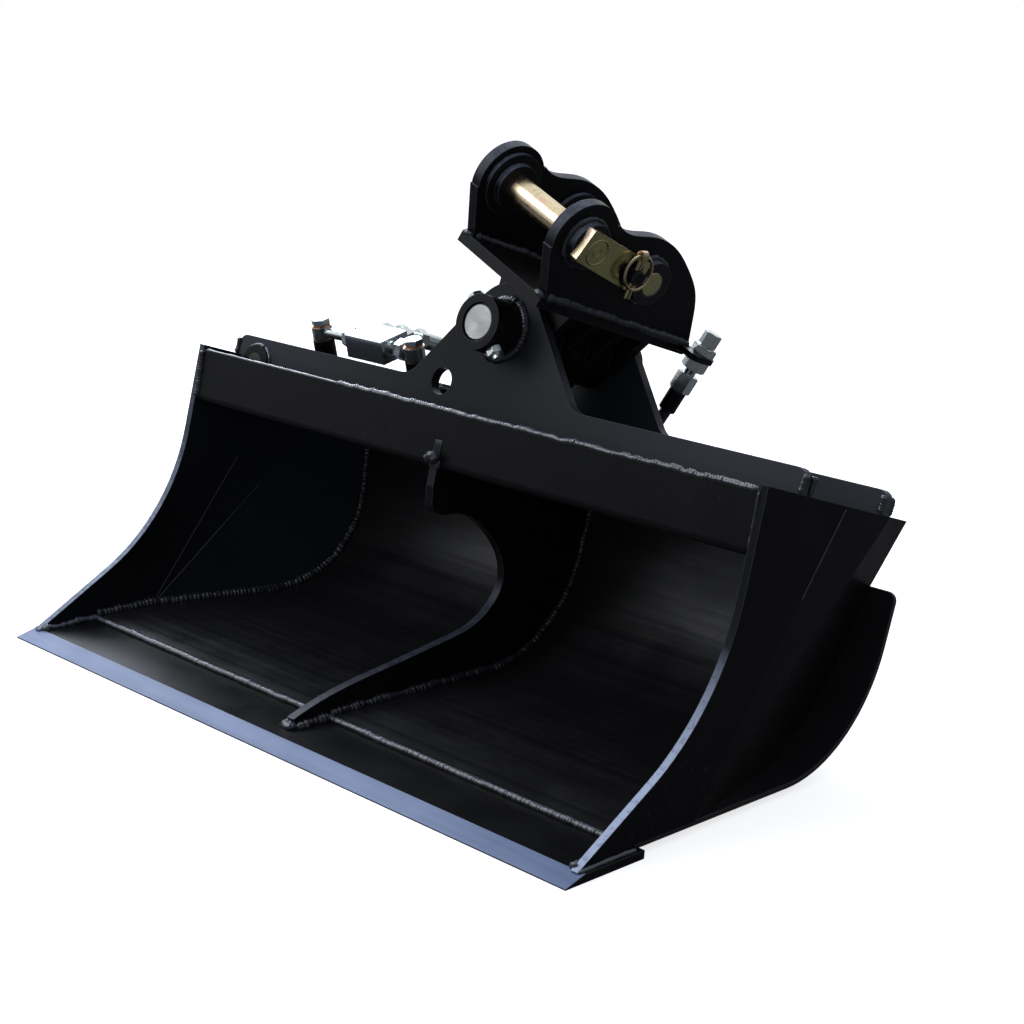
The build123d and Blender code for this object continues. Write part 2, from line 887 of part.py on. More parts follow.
def flag_stud(hand):
    start = stud_centre(hand) - across * hand * outer_boss_length
    length = outer_boss_length + flag_thickness + stud_stand
    body = disc(start, across * hand, stud_diameter / 2, length)
    body = chamfer(body.faces().sort_by(Axis.X)[-1 if hand > 0 else 0].edges(), 1.5)
    hole = disc(lynch_place(hand) - lynch_way() * stud_diameter, lynch_way(),
                lynch_diameter / 2 + running_fit, 2 * stud_diameter)
    return tilted(body - hole)


def lynch_pin(hand):
    way = lynch_way()
    centre = lynch_place(hand)
    body = disc(centre - way * lynch_top, way, lynch_diameter / 2, lynch_top + lynch_tip)
    body = chamfer(body.edges().filter_by(GeomType.CIRCLE).sort_by(Axis.Z)[0], 2)
    side = way.cross(across)
    eye = ring_pivot(hand)
    head = disc(eye - side * (lynch_head_width / 2), side, lynch_head / 2, lynch_head_width)
    hole = disc(eye - side * lynch_head, side, lynch_wire / 2 + lynch_wire_play, 2 * lynch_head)
    return tilted(body + head - hole)


def ring_pivot(hand):
    return lynch_place(hand) - lynch_way() * (lynch_top + lynch_eye_rise)


def lynch_ring(hand):
    """Snap ring through the head of the lynch pin, leaning clear of its tip."""
    out = across * hand
    drop = 2 * lynch_ring_radius
    clear = (lynch_diameter + lynch_wire) / 2 + side_play
    lean = degrees(atan2(clear, drop))
    way = lynch_way()
    down = way * cos(radians(lean)) + out * sin(radians(lean))
    side = down.cross(out).normalized()
    normal = side.cross(down)
    frame = Plane(origin=ring_pivot(hand) + down * lynch_ring_radius, x_dir=side, z_dir=normal)
    return tilted(frame * Torus(lynch_ring_radius, lynch_wire / 2))


def base_plate():
    frame = Plane(origin=head_at(0, 0, base_top), x_dir=across, z_dir=-rise_way)
    middle = -(base_front + base_rear) / 2
    body = extrude(frame * Pos(0, middle) * Rectangle(2 * head_half_width, base_rear - base_front),
                   amount=base_thickness)
    return tilted(body)


def tab(hand):
    """Small bracket at a rear corner of the base plate, which carries a bulkhead."""
    frame = Plane(origin=head_at(0, 0, base_top), x_dir=across, z_dir=-rise_way)
    inner = head_half_width
    outer = bulkhead_offset + tab_margin
    near = base_rear - tab_root
    far = bulkhead_back + tab_margin
    face = outline((inner, -near), (outer, -near), (outer, -far), (inner, -far))
    for point in ((outer, -near), (outer, -far), (inner, -far)):
        face = rounded(face, point, tab_radius)
    body = extrude(frame * face, amount=tab_thickness)
    body -= disc(head_at(bulkhead_offset, bulkhead_back, base_top + 1), -rise_way,
                 bulkhead_thread / 2 + seat_fit, tab_thickness + 2)
    if hand < 0:
        body = mirror(body, about=Plane(origin=(0, 0, 0), z_dir=across))
    return tilted(body)


def hub_ends():
    front = front_plate_back + pivot_plate
    return front, rear_plate_back


def hub_tube():
    front, rear = hub_ends()
    start = front + thrust_washer + side_play
    length = rear - front - 2 * (thrust_washer + side_play)
    inner = pivot_pin_diameter / 2 + running_fit + bush_wall
    return tilted(ring(head_at(0, start, 0), back_way, hub_diameter / 2, inner, length))


def hub_bushes():
    front, rear = hub_ends()
    start = front + thrust_washer + side_play
    end = rear - thrust_washer - side_play
    inner = pivot_pin_diameter / 2 + running_fit
    outer = inner + bush_wall - seat_fit
    bodies = [ring(head_at(0, place, 0), back_way, outer, inner, bush_length)
              for place in (start, end - bush_length)]
    return Compound(children=bodies)


def thrust_washers():
    front, rear = hub_ends()
    inner = pivot_pin_diameter / 2 + running_fit
    bodies = []
    for start in (front + side_play, rear - thrust_washer - side_play):
        bodies.append(ring(head_at(0, start, 0), back_way, hub_diameter / 2 - 4, inner, thrust_washer))
    return Compound(children=bodies)


def saddle_height():
    return base_top - base_thickness


def web_sketch(top_half, foot_half):
    top = saddle_height()
    face = outline((-top_half, top), (top_half, top), (foot_half, web_foot_rise), (-foot_half, web_foot_rise))
    return Pos(0, tilt_rise) * face


def head_web(start):
    """Upright web from the hub to the base plate."""
    body = plate(web_sketch(web_half_width, web_foot_half), start, web_thickness)
    body -= disc(head_at(0, start - 1, 0), back_way, hub_diameter / 2, web_thickness + 2)
    floor = Plane(origin=head_at(0, 0, 0), x_dir=across, z_dir=rise_way)
    return tilted(one_solid(split(body, bisect_by=floor, keep=Keep.TOP)))


def arm_starts():
    near = cylinder_back - arm_gap / 2 - arm_thickness
    return near, cylinder_back + arm_gap / 2


def arm_eye():
    """Place of the arm's eye, as x and rise: the middle of the rod pin's travel in it."""
    return (0, tilt_rise - arm_length)


def arm(start):
    """Arm from the base plate round the hub down to the rod pin, with a clearance eye."""
    x, rise = arm_eye()
    top = saddle_height() + tilt_rise
    eye_hole = rod_pin_diameter / 2 + eye_slack
    shin = tilt_rise - arm_shin_drop
    face = outline((-web_half_width, top), (web_half_width, top), (arm_waist, tilt_rise), (arm_shin, shin),
                   (arm_eye_radius, rise), (-arm_eye_radius, rise), (-arm_shin, shin), (-arm_waist, tilt_rise))
    face += Pos(x, rise) * Circle(arm_eye_radius)
    face -= Pos(x, rise) * Circle(eye_hole)
    body = plate(face, start, arm_thickness)
    body -= disc(head_at(0, start - 1, 0), back_way, hub_diameter / 2, arm_thickness + 2)
    return tilted(one_solid(body))


# Bulkheads

def bulkhead_point(hand, rise):
    return head_at(hand * bulkhead_offset, bulkhead_back, rise)


def bulkhead_parts(hand):
    """Stem with cap and nut through the tab, and below it adapter, swivel nut and ferrule."""
    under = base_top - tab_thickness
    swivel_rise = under - adapter_length - bulkhead_neck_length
    up = rise_way
    cap = hexagon(bulkhead_point(hand, base_top + bulkhead_nut), up, bulkhead_cap_size, bulkhead_cap)
    stem = disc(bulkhead_point(hand, under), up, bulkhead_thread / 2, tab_thickness + bulkhead_nut)
    flange = hexagon(bulkhead_point(hand, under), -up, bulkhead_hex, adapter_length)
    neck = disc(bulkhead_point(hand, under - adapter_length), -up, bulkhead_neck / 2, bulkhead_neck_length)
    nut = hexagon(bulkhead_point(hand, base_top), up, bulkhead_hex, bulkhead_nut)
    nut -= disc(bulkhead_point(hand, base_top - 1), up, bulkhead_thread / 2 + seat_fit, bulkhead_nut + 2)
    swivel = hexagon(bulkhead_point(hand, swivel_rise), -up, union_size, swivel_length)
    sleeve = disc(bulkhead_point(hand, swivel_rise - swivel_length), -up, ferrule_diameter / 2, ferrule_length)
    sleeve = chamfer(sleeve.edges().filter_by(GeomType.CIRCLE), 1.5)
    return [tilted(body) for body in (cap + stem + flange + neck, nut, swivel, sleeve)]


def both_bulkheads():
    """The four kinds of bulkhead piece, each as a left and a right solid."""
    return [Compound(children=[left, right]) for left, right in zip(bulkhead_parts(-1), bulkhead_parts(1))]


def bulkhead_hose_rise():
    return base_top - tab_thickness - adapter_length - bulkhead_neck_length - swivel_length - ferrule_length


def bulkhead_hose_place(hand):
    pivot = head_at(0, bulkhead_back, 0)
    offset = bulkhead_point(hand, bulkhead_hose_rise()) - pivot
    return pivot + turned(offset)


# Hoses, as routes of x, back and rise

def right_route():
    start = hose_start(hose_port_xs()[1])
    end = bulkhead_hose_place(1)
    middle = [at(*p) for p in ((-254.9, 298.5, 74.3), (-235, 339, 34.7), (-192.4, 349.5, -6.3),
                               (-133.1, 350.2, -15.2), (-95.5, 346.1, -13.3), (-36.5, 335.6, -14.4),
                               (21.8, 327.4, -12))]
    return [start, start + back_way * 38.4, *middle, end - turned(rise_way) * 54.9, end]


def left_route():
    start = hose_start(hose_port_xs()[0])
    end = bulkhead_hose_place(-1)
    middle = [at(*p) for p in ((-276.5, 317.6, 78.7), (-236.2, 342.2, 70.7), (-187.2, 344.3, 68),
                               (-145.7, 330.5, 79.1))]
    return [start, start + back_way * 49.4, *middle, end - turned(rise_way) * 44.4, end]


def run_lengths(route):
    return [(b - a).length for a, b in zip(route[:-1], route[1:])]


def hose(route, name):
    """Tube of straight runs and tangent arcs, each as large as its two runs allow."""
    lengths = run_lengths(route)
    edges = []
    start = route[0]
    path_length = 0.0
    for i in range(1, len(route) - 1):
        before = (route[i] - route[i - 1]).normalized()
        after = (route[i + 1] - route[i]).normalized()
        turn = radians(before.get_angle(after))
        reach = 0.45 * min(lengths[i - 1], lengths[i])
        radius = reach / tan(turn / 2)
        a = route[i] - before * reach
        b = route[i] + after * reach
        inward = (after - before).normalized()
        middle = route[i] + inward * (sqrt(radius ** 2 + reach ** 2) - radius)
        edges.append(Edge.make_line(start, a))
        edges.append(Edge.make_three_point_arc(a, middle, b))
        path_length += (a - start).length + radius * turn
        print(name, "radius", round(radius), "turn", round(degrees(turn)), "run", round(lengths[i - 1]))
        start = b
    edges.append(Edge.make_line(start, route[-1]))
    path_length += (route[-1] - start).length
    path = Wire(edges)
    section = Plane(origin=route[0], z_dir=(route[1] - route[0]).normalized()) * Circle(hose_diameter / 2)
    body = sweep(section, path=path)
    print(name, "length", round(path_length), "volume ratio",
          round(body.volume / (path_length * pi * hose_diameter ** 2 / 4), 4))
    return body


shell_body = shell()
deck_body = deck()


def build_nodes():
    front, gap_front, gap_rear, rear = anchor_ends()
    bulkhead_adapters, bulkhead_nuts, bulkhead_swivels, bulkhead_ferrules = both_bulkheads()
    near_arm, far_arm = arm_starts()
    hub_front, hub_rear = hub_ends()
    return {
        "cutting_edge": cutting_edge(),
        "shell": shell_body,
        "heel_skids": heel_skids(),
        "side_plate_left": side_plate(-1),
        "side_plate_right": side_plate(1),
        "top_beam": top_beam(),
        "deck_plate": deck_body,
        "centre_rib": centre_rib(),
        "front_pivot_plate": front_pivot_plate(),
        "rear_pivot_plate": rear_pivot_plate(),
        "front_pivot_boss": front_pivot_boss(),
        "rear_pivot_boss": rear_pivot_boss(),
        "pivot_pin": pivot_pin(),
        "pivot_lock_bolt": pivot_lock_bolt(),
        "pivot_lock_nut": pivot_lock_nut(),
        "anchor_boss_front": anchor_boss(front, gap_front),
        "anchor_boss_rear": anchor_boss(gap_rear, rear),
        "anchor_pin": anchor_pin(),
        "cylinder_barrel": cylinder_barrel(),
        "cylinder_gland": gland(),
        "port_bosses": port_bosses(),
        "copper_washers": copper_washers(),
        "banjo_fittings": each_port(banjo),
        "banjo_bolts": each_port(banjo_bolt),
        "union_nuts": each_port(union_nut),
        "valve_block": valve_block(),
        "hose_adapters": hose_adapters(),
        "block_hose_fittings": block_hose_fittings(),
        "piston_rod": piston_rod(),
        "piston": piston(),
        "rod_eye": rod_eye(),
        "rod_pin": rod_pin(),
        "rod_pin_collars": rod_pin_collars(),
        "head_base_plate": base_plate(),
        "ear_left": ear(-1),
        "ear_right": ear(1),
        "inner_bosses_left": inner_bosses(-1),
        "inner_bosses_right": inner_bosses(1),
        "outer_bosses_left": outer_bosses(-1),
        "outer_bosses_right": outer_bosses(1),
        "front_hitch_pin": hitch_pin(1),
        "rear_hitch_pin": hitch_pin(-1),
        "flag_stud_right": flag_stud(1),
        "flag_stud_left": flag_stud(-1),
        "lynch_pin_right": lynch_pin(1),
        "lynch_pin_left": lynch_pin(-1),
        "lynch_ring_right": lynch_ring(1),
        "lynch_ring_left": lynch_ring(-1),
        "hub_tube": hub_tube(),
        "hub_bushes": hub_bushes(),
        "thrust_washers": thrust_washers(),
        "head_webs": Compound(children=[head_web(hub_front + thrust_washer + side_play),
                                        head_web(hub_rear - thrust_washer - side_play - web_thickness)]),
        "tilt_arms": Compound(children=[arm(near_arm), arm(far_arm)]),
        "bulkhead_tabs": Compound(children=[tab(-1), tab(1)]),
        "bulkhead_adapters": bulkhead_adapters,
        "bulkhead_nuts": bulkhead_nuts,
        "bulkhead_hose_fittings": bulkhead_swivels,
        "bulkhead_ferrules": bulkhead_ferrules,
        "hose_right": hose(right_route(), "hose_right"),
        "hose_left": hose(left_route(), "hose_left"),
    }


os.makedirs("parts", exist_ok=True)
for node, shape in build_nodes().items():
    export_step(Pos(0, -origin_depth, 0) * shape, f"parts/{node}.step")
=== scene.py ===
import json
import math
from collections import namedtuple

import bpy
from mathutils import Matrix, Vector, noise


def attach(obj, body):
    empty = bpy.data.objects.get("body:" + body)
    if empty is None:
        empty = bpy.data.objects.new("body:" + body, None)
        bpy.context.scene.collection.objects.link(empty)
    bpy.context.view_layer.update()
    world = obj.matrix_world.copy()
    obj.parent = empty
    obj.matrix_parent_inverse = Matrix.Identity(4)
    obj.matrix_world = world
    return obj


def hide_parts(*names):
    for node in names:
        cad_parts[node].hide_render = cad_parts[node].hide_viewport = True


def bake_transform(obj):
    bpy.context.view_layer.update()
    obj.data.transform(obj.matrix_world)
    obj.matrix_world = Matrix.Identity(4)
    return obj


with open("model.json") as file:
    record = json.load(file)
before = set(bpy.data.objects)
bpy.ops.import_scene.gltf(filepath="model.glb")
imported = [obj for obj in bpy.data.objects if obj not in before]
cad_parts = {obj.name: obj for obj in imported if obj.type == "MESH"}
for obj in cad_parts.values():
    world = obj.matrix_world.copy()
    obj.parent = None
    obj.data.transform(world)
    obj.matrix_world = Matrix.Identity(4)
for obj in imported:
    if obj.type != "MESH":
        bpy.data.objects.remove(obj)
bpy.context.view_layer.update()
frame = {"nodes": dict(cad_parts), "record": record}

# Sizes that place the welds and hoses, in millimetres, as in the CAD model.
# Depths run back from the blade's tip, and heights up from the floor.
ORIGIN_DEPTH = 342.0
SIDE_HALF = 500.0
INNER_HALF = 490.0
FOLD_START = (210.0, 12.0)
FOLDS = ((53.5, 0.10), (40.0, 0.25))
BLADE_TOP = 10.0
SHELL_FRONT = 116.0
SHELL_FLOOR = 16.0
SHELL_CORNER = 530.0
SHELL_ANGLE = math.radians(75)
SHELL_BEND = 180.0
SHELL_TOP = 214.0
SHELL_FLAT_END = SHELL_CORNER - SHELL_BEND * math.tan(SHELL_ANGLE / 2)
RIB_HALF = 6.0
RIB_TOE = 59.0
SHELL_UNDER = 10.0
SKIDS = (-300.0, 300.0)
SKID_HALF = 8.0
SKID_ENDS = (128.0, 390.0)

# Backs and rises are measured along and square to the sloping deck.
DECK_SLOPE = math.radians(15.5)
DECK_CORNER = (295.0, 385.0)
DECK_DEPTH = 50.0
BEAM_DROP = 6.5
FRONT_OUTER, FRONT_INNER, REAR_INNER, REAR_OUTER = 68.0, 83.0, 255.0, 270.0
PLATE_END_TOP = 30.0
CYLINDER_BACK = 169.0
CYLINDER_RISE = -2.0
ANCHOR = -451.0
BARREL_BASE, BARREL_END = -422.0, -190.0
BARREL_RADIUS = 35.0
PIVOT_BOSS_RADIUS, ANCHOR_BOSS_RADIUS = 36.0, 27.0
TILT_RISE = 118.0

# The head is measured from the tilt axis, before it is turned.
REST_TILT = math.radians(22.4)
EAR_INNER, EAR_MIDDLE, EAR_OUTER = 70.0, 77.0, 85.0
EAR_FRONT, EAR_REAR = 12.0, 306.0
BASE_TOP, BASE_UNDER = 83.0, 68.0
FRONT_HITCH, REAR_HITCH = (20.0, 164.0), (158.0, 147.0)
HITCH_PIN_RADIUS, OUTER_BOSS_RADIUS = 17.5, 30.0
OUTER_BOSS = 13.0
FLAG_PLATE = 12.0
TAB_FRONT, TAB_REAR, TAB_UNDER = 287.0, 307.0, 75.0
BULKHEAD = 102.0
BULKHEAD_BACK = 320.0
HOSE_END_RISE = -7.0

ACROSS = Vector((1, 0, 0))
UP = Vector((0, 0, 1))
BACK = Vector((0, math.cos(DECK_SLOPE), -math.sin(DECK_SLOPE)))
RISE = Vector((0, math.sin(DECK_SLOPE), math.cos(DECK_SLOPE)))
ZERO = Vector((0, *DECK_CORNER)) - RISE * BEAM_DROP - Vector((0, ORIGIN_DEPTH, 0))
TURN = Matrix.Rotation(REST_TILT, 3, BACK)
HEAD_X, HEAD_UP = TURN @ ACROSS, TURN @ RISE
BOTH = (-1, 1)


def at(x, back, rise):
    """Place in the deck frame, in metres."""
    return (ZERO + ACROSS * x + BACK * back + RISE * rise) / 1000


def head(x, back, rise):
    """Place on the tilting head, from the tilt axis, in metres."""
    return at(0, back, TILT_RISE) + (HEAD_X * x + HEAD_UP * rise) / 1000


def body(x, depth, height):
    """Place on the bucket, with its depth from the blade's tip, in metres."""
    return Vector((x, depth - ORIGIN_DEPTH, height)) / 1000


# Materials

NOISE_RANGE = (0.3, 0.7)
SPECK_SHARE = 0.28
BEVEL_SAMPLES = 4
COOL = 1.15
WHITE = (1, 1, 1, 1)


class Nodes:
    """Short calls that build one node tree."""

    def __init__(self, tree):
        self.tree = tree

    def add(self, kind, **inputs):
        node = self.tree.nodes.new(kind)
        for key, value in inputs.items():
            self.link(value, node.inputs[key.replace("_", " ")])
        return node

    def link(self, value, socket):
        if isinstance(value, bpy.types.NodeSocket):
            self.tree.links.new(value, socket)
        else:
            socket.default_value = value

    def operate(self, kind, operation, a, b):
        node = self.tree.nodes.new(kind)
        node.operation = operation
        self.link(a, node.inputs[0])
        self.link(b, node.inputs[1])
        return node

    def math(self, operation, a, b=0.0):
        return self.operate("ShaderNodeMath", operation, a, b).outputs[0]

    def vector(self, operation, a, b):
        return self.operate("ShaderNodeVectorMath", operation, a, b).outputs["Value"]

    def between(self, value, low, high, start=0.0, end=1.0, shape="LINEAR"):
        """From start to end as a value goes from low to high."""
        node = self.add("ShaderNodeMapRange", Value=value, From_Min=low, From_Max=high, To_Min=start,
                        To_Max=end)
        node.interpolation_type = shape
        return node.outputs["Result"]

    def mix(self, factor, a, b):
        node = self.tree.nodes.new("ShaderNodeMix")
        node.data_type = "RGBA"
        for value, socket in ((factor, 0), (a, 6), (b, 7)):
            self.link(value, node.inputs[socket])
        return node.outputs[2]

    def cover(self, tone, mask, strength, colour):
        """A tone with a colour over it, as strong as a mask times strength."""
        return self.mix(self.math("MULTIPLY", mask, strength), tone, colour)


class Finish(Nodes):
    """The nodes of one material. Its noises and spots lie in the object's own space."""

    def __init__(self, name):
        self.material = bpy.data.materials.new(name)
        self.material.use_nodes = True
        super().__init__(self.material.node_tree)
        self.shader = self.tree.nodes["Principled BSDF"]
        coordinates = self.add("ShaderNodeTexCoord").outputs
        self.place, self.normal = coordinates["Object"], coordinates["Normal"]

    def noise(self, scale, detail=3.0, rough=0.5, place=None, distortion=0.0):
        node = self.add("ShaderNodeTexNoise", Vector=place or self.place, Scale=scale, Detail=detail,
                        Roughness=rough, Distortion=distortion)
        return node.outputs["Fac"]

    def varied(self, start, end, scale, detail=3.0, rough=0.5):
        """From start to end, by a noise."""
        return self.between(self.noise(scale, detail, rough), *NOISE_RANGE, start, end)

    def stretched(self, scale, turn=(0, 0, 0)):
        node = self.add("ShaderNodeMapping", Vector=self.place, Scale=scale, Rotation=turn)
        return node.outputs["Vector"]

    def bump(self, height, distance, strength, normal=None):
        node = self.add("ShaderNodeBump", Height=height, Distance=distance, Strength=strength)
        if normal:
            self.link(normal, node.inputs["Normal"])
        return node.outputs["Normal"]

    def soft_edge(self, radius):
        node = self.add("ShaderNodeBevel", Radius=radius)
        node.samples = BEVEL_SAMPLES
        return node.outputs["Normal"]

    def sharp_edge_wear_and_highlight(self, radius):
        """Near 1 on sharp edges and 0 on flat faces."""
        plain = self.add("ShaderNodeNewGeometry").outputs["Normal"]
        return self.between(self.vector("DOT_PRODUCT", plain, self.soft_edge(radius)), 0.995, 0.9)

    def facing(self, way, low, high):
        """From 0 to 1 as the cosine between a face and that way goes from low to high."""
        return self.between(self.vector("DOT_PRODUCT", self.normal, way), low, high)

    def specks(self, scale, size):
        """Small round spots, in a share of the cells of a grid."""
        cells = self.add("ShaderNodeTexVoronoi", Vector=self.place, Scale=scale)
        near = self.between(cells.outputs["Distance"], size, size * 0.6)
        chosen = self.add("ShaderNodeSeparateColor", Color=cells.outputs["Color"]).outputs[0]
        return self.math("MULTIPLY", near, self.math("GREATER_THAN", chosen, 1 - SPECK_SHARE))

    def scratches(self, scale, turn):
        """Thin lines in a few patches."""
        line = self.noise(1.0, 2.0, place=self.stretched(scale, turn))
        thin = self.between(self.math("ABSOLUTE", self.math("SUBTRACT", line, 0.5)), 0.012, 0.003)
        patch = self.between(self.noise(6.0, 1.0), 0.56, 0.66)
        return self.math("MULTIPLY", thin, patch)

    def set(self, **values):
        names = {"color": "Base Color", "roughness": "Roughness", "metallic": "Metallic",
                 "normal": "Normal", "specular": "Specular IOR Level"}
        for key, value in values.items():
            self.link(value, self.shader.inputs[names[key]])
        return self.material


def grey(level, blue=1.0):
    return (level, level, level * blue, 1)


DUST = grey(0.2)
# WORN_PAINT_AND_HIGHLIGHT is the paler colour of sharp edges: partly worn paint, partly a painted
# highlight.
WORN_PAINT_AND_HIGHLIGHT = grey(0.11, 1.35)
# Cut edges that look towards EDGE_LIGHT_WAY get EDGE_HIGHLIGHT, a painted highlight. EDGE_DARK is their
# colour where they look away.
EDGE_LIGHT_WAY = Vector((-0.4, -0.3, 0.86)).normalized()
EDGE_DARK, EDGE_HIGHLIGHT = (0.008, 0.009, 0.011, 1), (0.5, 0.57, 0.75, 1)
# The bevel's pale blues are a painted reflection on the blade's ground bevel.
BEVEL_REFLECTION_DARK, BEVEL_REFLECTION_PALE = (0.13, 0.175, 0.3, 1), (0.2, 0.26, 0.42, 1)
# BEAD_HIGHLIGHT is a painted highlight on the tops of weld beads.
BEAD_HIGHLIGHT = (0.095, 0.103, 0.135, 1)
PAINT_EDGE = 0.0014        # radius in metres to which painted edges look rounded
METAL_EDGE = 0.0006
FACE_COSINES = (0.35, 0.5)    # between a plate's cut edges and its faces
TURNING = 9000.0           # radians of turned rings in a metre


def cut_edges_and_highlight(n, tone, across, strength, highlight_range):
    """Paler cut edges on a plate: all of it that doesn't face across it, one way or the other. The
    paleness is partly chipped thin paint and partly a painted highlight, strongest where an edge looks
    towards EDGE_LIGHT_WAY.
    """
    painted_light_tone = n.mix(n.facing(EDGE_LIGHT_WAY, *highlight_range), EDGE_DARK, EDGE_HIGHLIGHT)
    chips = n.between(n.noise(130.0, 3.0), 0.35, 0.7, 0.7, 1.5)
    faces = n.math("MAXIMUM", n.facing(across, *FACE_COSINES), n.facing(-across, *FACE_COSINES))
    cut = n.math("MULTIPLY", n.math("SUBTRACT", 1.0, faces), strength)
    return n.mix(n.math("MINIMUM", n.math("MULTIPLY", cut, chips), 1.0), tone, painted_light_tone)


def bevel_reflection(n, tone, way):
    """The blade's ground bevel, pale blue with streaks along it: a painted reflection."""
    streak = n.noise(1.0, 3.0, place=n.stretched((3, 60, 60)))
    painted_light_tone = n.mix(n.between(streak, *NOISE_RANGE), BEVEL_REFLECTION_DARK, BEVEL_REFLECTION_PALE)
    return n.mix(n.facing(way, 0.975, 0.99), tone, painted_light_tone)


def dust_and_light_film(n, tone, clear, start, full, colour):
    """A pale film, partly dust and partly painted light and reflection, which starts and is full at two
    distances in metres from its darkest place.
    """
    away = n.between(n.vector("DISTANCE", n.place, clear), start, full)
    return n.cover(tone, away, n.varied(0.75, 1.0, 5.0), colour)


def paint(name, shine=0.14, cut_across=None, edge_wear_and_highlight=1.0, edge_highlight_range=(0.35, 0.97), bevel=None,
          light_film=None, rolled=False):
    """Satin black paint, with dust, and edges paler from wear and from a painted highlight.

    cut_across is the way through a plate: its cut edges are paler than its faces, by
    edge_wear_and_highlight, partly as worn paint, and more so, as a painted highlight, where they look
    up and to the left, as edge_highlight_range says. bevel is the way that a ground bevel looks; it gets
    a painted reflection. light_film is what dust_and_light_film takes. rolled adds the bands of a rolled
    sheet, and a lighter tone that is painted light.
    """
    n = Finish(name)
    tone = n.mix(n.noise(9.0, 4.0), grey(0.0028, COOL), grey(0.0055, COOL))
    if cut_across:
        # Cut edges paler than the faces, partly as worn paint and partly as a painted highlight.
        tone = cut_edges_and_highlight(n, tone, cut_across, edge_wear_and_highlight, edge_highlight_range)
    if bevel:
        # The ground bevel gets a painted pale blue reflection.
        tone = bevel_reflection(n, tone, bevel)
    # The film lightens the paint away from one place: painted light, with some dust.
    if light_film:
        tone = dust_and_light_film(n, tone, *light_film)
    dust = n.math("MULTIPLY", n.specks(230.0, 0.13), n.between(n.noise(5.0, 1.0), 0.42, 0.62))
    tone = n.cover(tone, dust, 0.3 if rolled else 0.5, DUST)
    # Sharp edges paler: partly worn paint, partly a painted highlight.
    tone = n.cover(tone, n.sharp_edge_wear_and_highlight(PAINT_EDGE), 0.5, WORN_PAINT_AND_HIGHLIGHT)
    rough = n.varied(0.3, 0.42, 14.0, 5.0, 0.6)
    normal = n.bump(n.noise(420.0, 2.0), 0.0001, 0.5, n.soft_edge(PAINT_EDGE))
    if rolled:
        # The rolled shell's paint is lighter all over: painted light for the shaded inside of the
        # bucket.
        tone = n.mix(0.5, tone, grey(0.012, 1.12))
        roll = n.noise(1.0, 1.5, place=n.stretched((0.4, 62, 62)))
        rough = n.math("ADD", rough, n.between(roll, 0.35, 0.65, -0.05, 0.05))
        normal = n.bump(roll, 0.0012, 0.45, normal)
    return n.set(color=tone, roughness=rough, normal=normal, specular=shine)


def weld_paint(name, shine, up_highlight=1.0):
    """Paint over weld beads, glossier than on the plates, with a painted highlight where it looks up."""
    n = Finish(name)
    dull = n.mix(n.noise(90.0, 3.0), grey(0.006, COOL), grey(0.02, COOL))
    # Painted highlight where the bead looks up.
    tone = n.cover(dull, n.facing(UP, 0.3, 0.95), up_highlight, BEAD_HIGHLIGHT)
    normal = n.bump(n.noise(500.0, 2.0), 0.0002, 0.5)
    return n.set(color=tone, roughness=n.varied(0.1, 0.24, 60.0), normal=normal, specular=shine)


def metal(name, dark, light, rough, grain=(900, 900, 60), pits=0.35, metallic=1.0):
    """Plated or machined metal, with blotches, fine grain and small pits."""
    n = Finish(name)
    tone = n.mix(n.noise(25.0, 4.0, 0.6), dark, light)
    tone = n.cover(tone, n.specks(500.0, 0.12), pits, grey(0.05))
    lines = n.noise(1.0, 2.0, place=n.stretched(grain))
    uneven = n.math("ADD", n.noise(60.0, 3.0), n.math("MULTIPLY", lines, 0.5))
    rough = n.between(uneven, 0.5, 1.0, *rough)
    normal = n.bump(lines, 0.00006, 0.5, n.soft_edge(METAL_EDGE))
    return n.set(color=tone, roughness=rough, metallic=metallic, normal=normal)


def yellow_zinc(name):
    """Yellow passivated zinc: gold, green and rose, and olive where it faces along the pins."""
    n = Finish(name)
    ramp = n.add("ShaderNodeValToRGB", Fac=n.noise(28.0, 4.0, 0.6, distortion=1.2))
    stops = ((0.28, (0.34, 0.36, 0.16, 1)), (0.42, (0.62, 0.5, 0.24, 1)),
             (0.52, (0.78, 0.68, 0.42, 1)), (0.64, (0.7, 0.42, 0.33, 1)), (0.76, (0.5, 0.48, 0.5, 1)))
    elements = ramp.color_ramp.elements
    for place, _ in stops[2:]:
        elements.new(place)
    for element, (place, colour) in zip(elements, stops):
        element.position = place
        element.color = colour
    tone = n.mix(0.45, ramp.outputs["Color"], (0.86, 0.7, 0.52, 1))
    olive = n.mix(n.noise(40.0, 4.0, 0.6), (0.36, 0.43, 0.13, 1), (0.64, 0.64, 0.28, 1))
    tone = n.cover(tone, n.facing(HEAD_X, 0.9, 0.97), 0.72, olive)
    tone = n.cover(tone, n.scratches((60, 260, 180), (0.4, 0.2, 0.9)), 0.6, grey(0.7))
    normal = n.bump(n.noise(500.0, 2.0), 0.00008, 0.5, n.soft_edge(0.0008))
    return n.set(color=tone, roughness=n.varied(0.16, 0.32, 90.0), metallic=1.0, normal=normal)


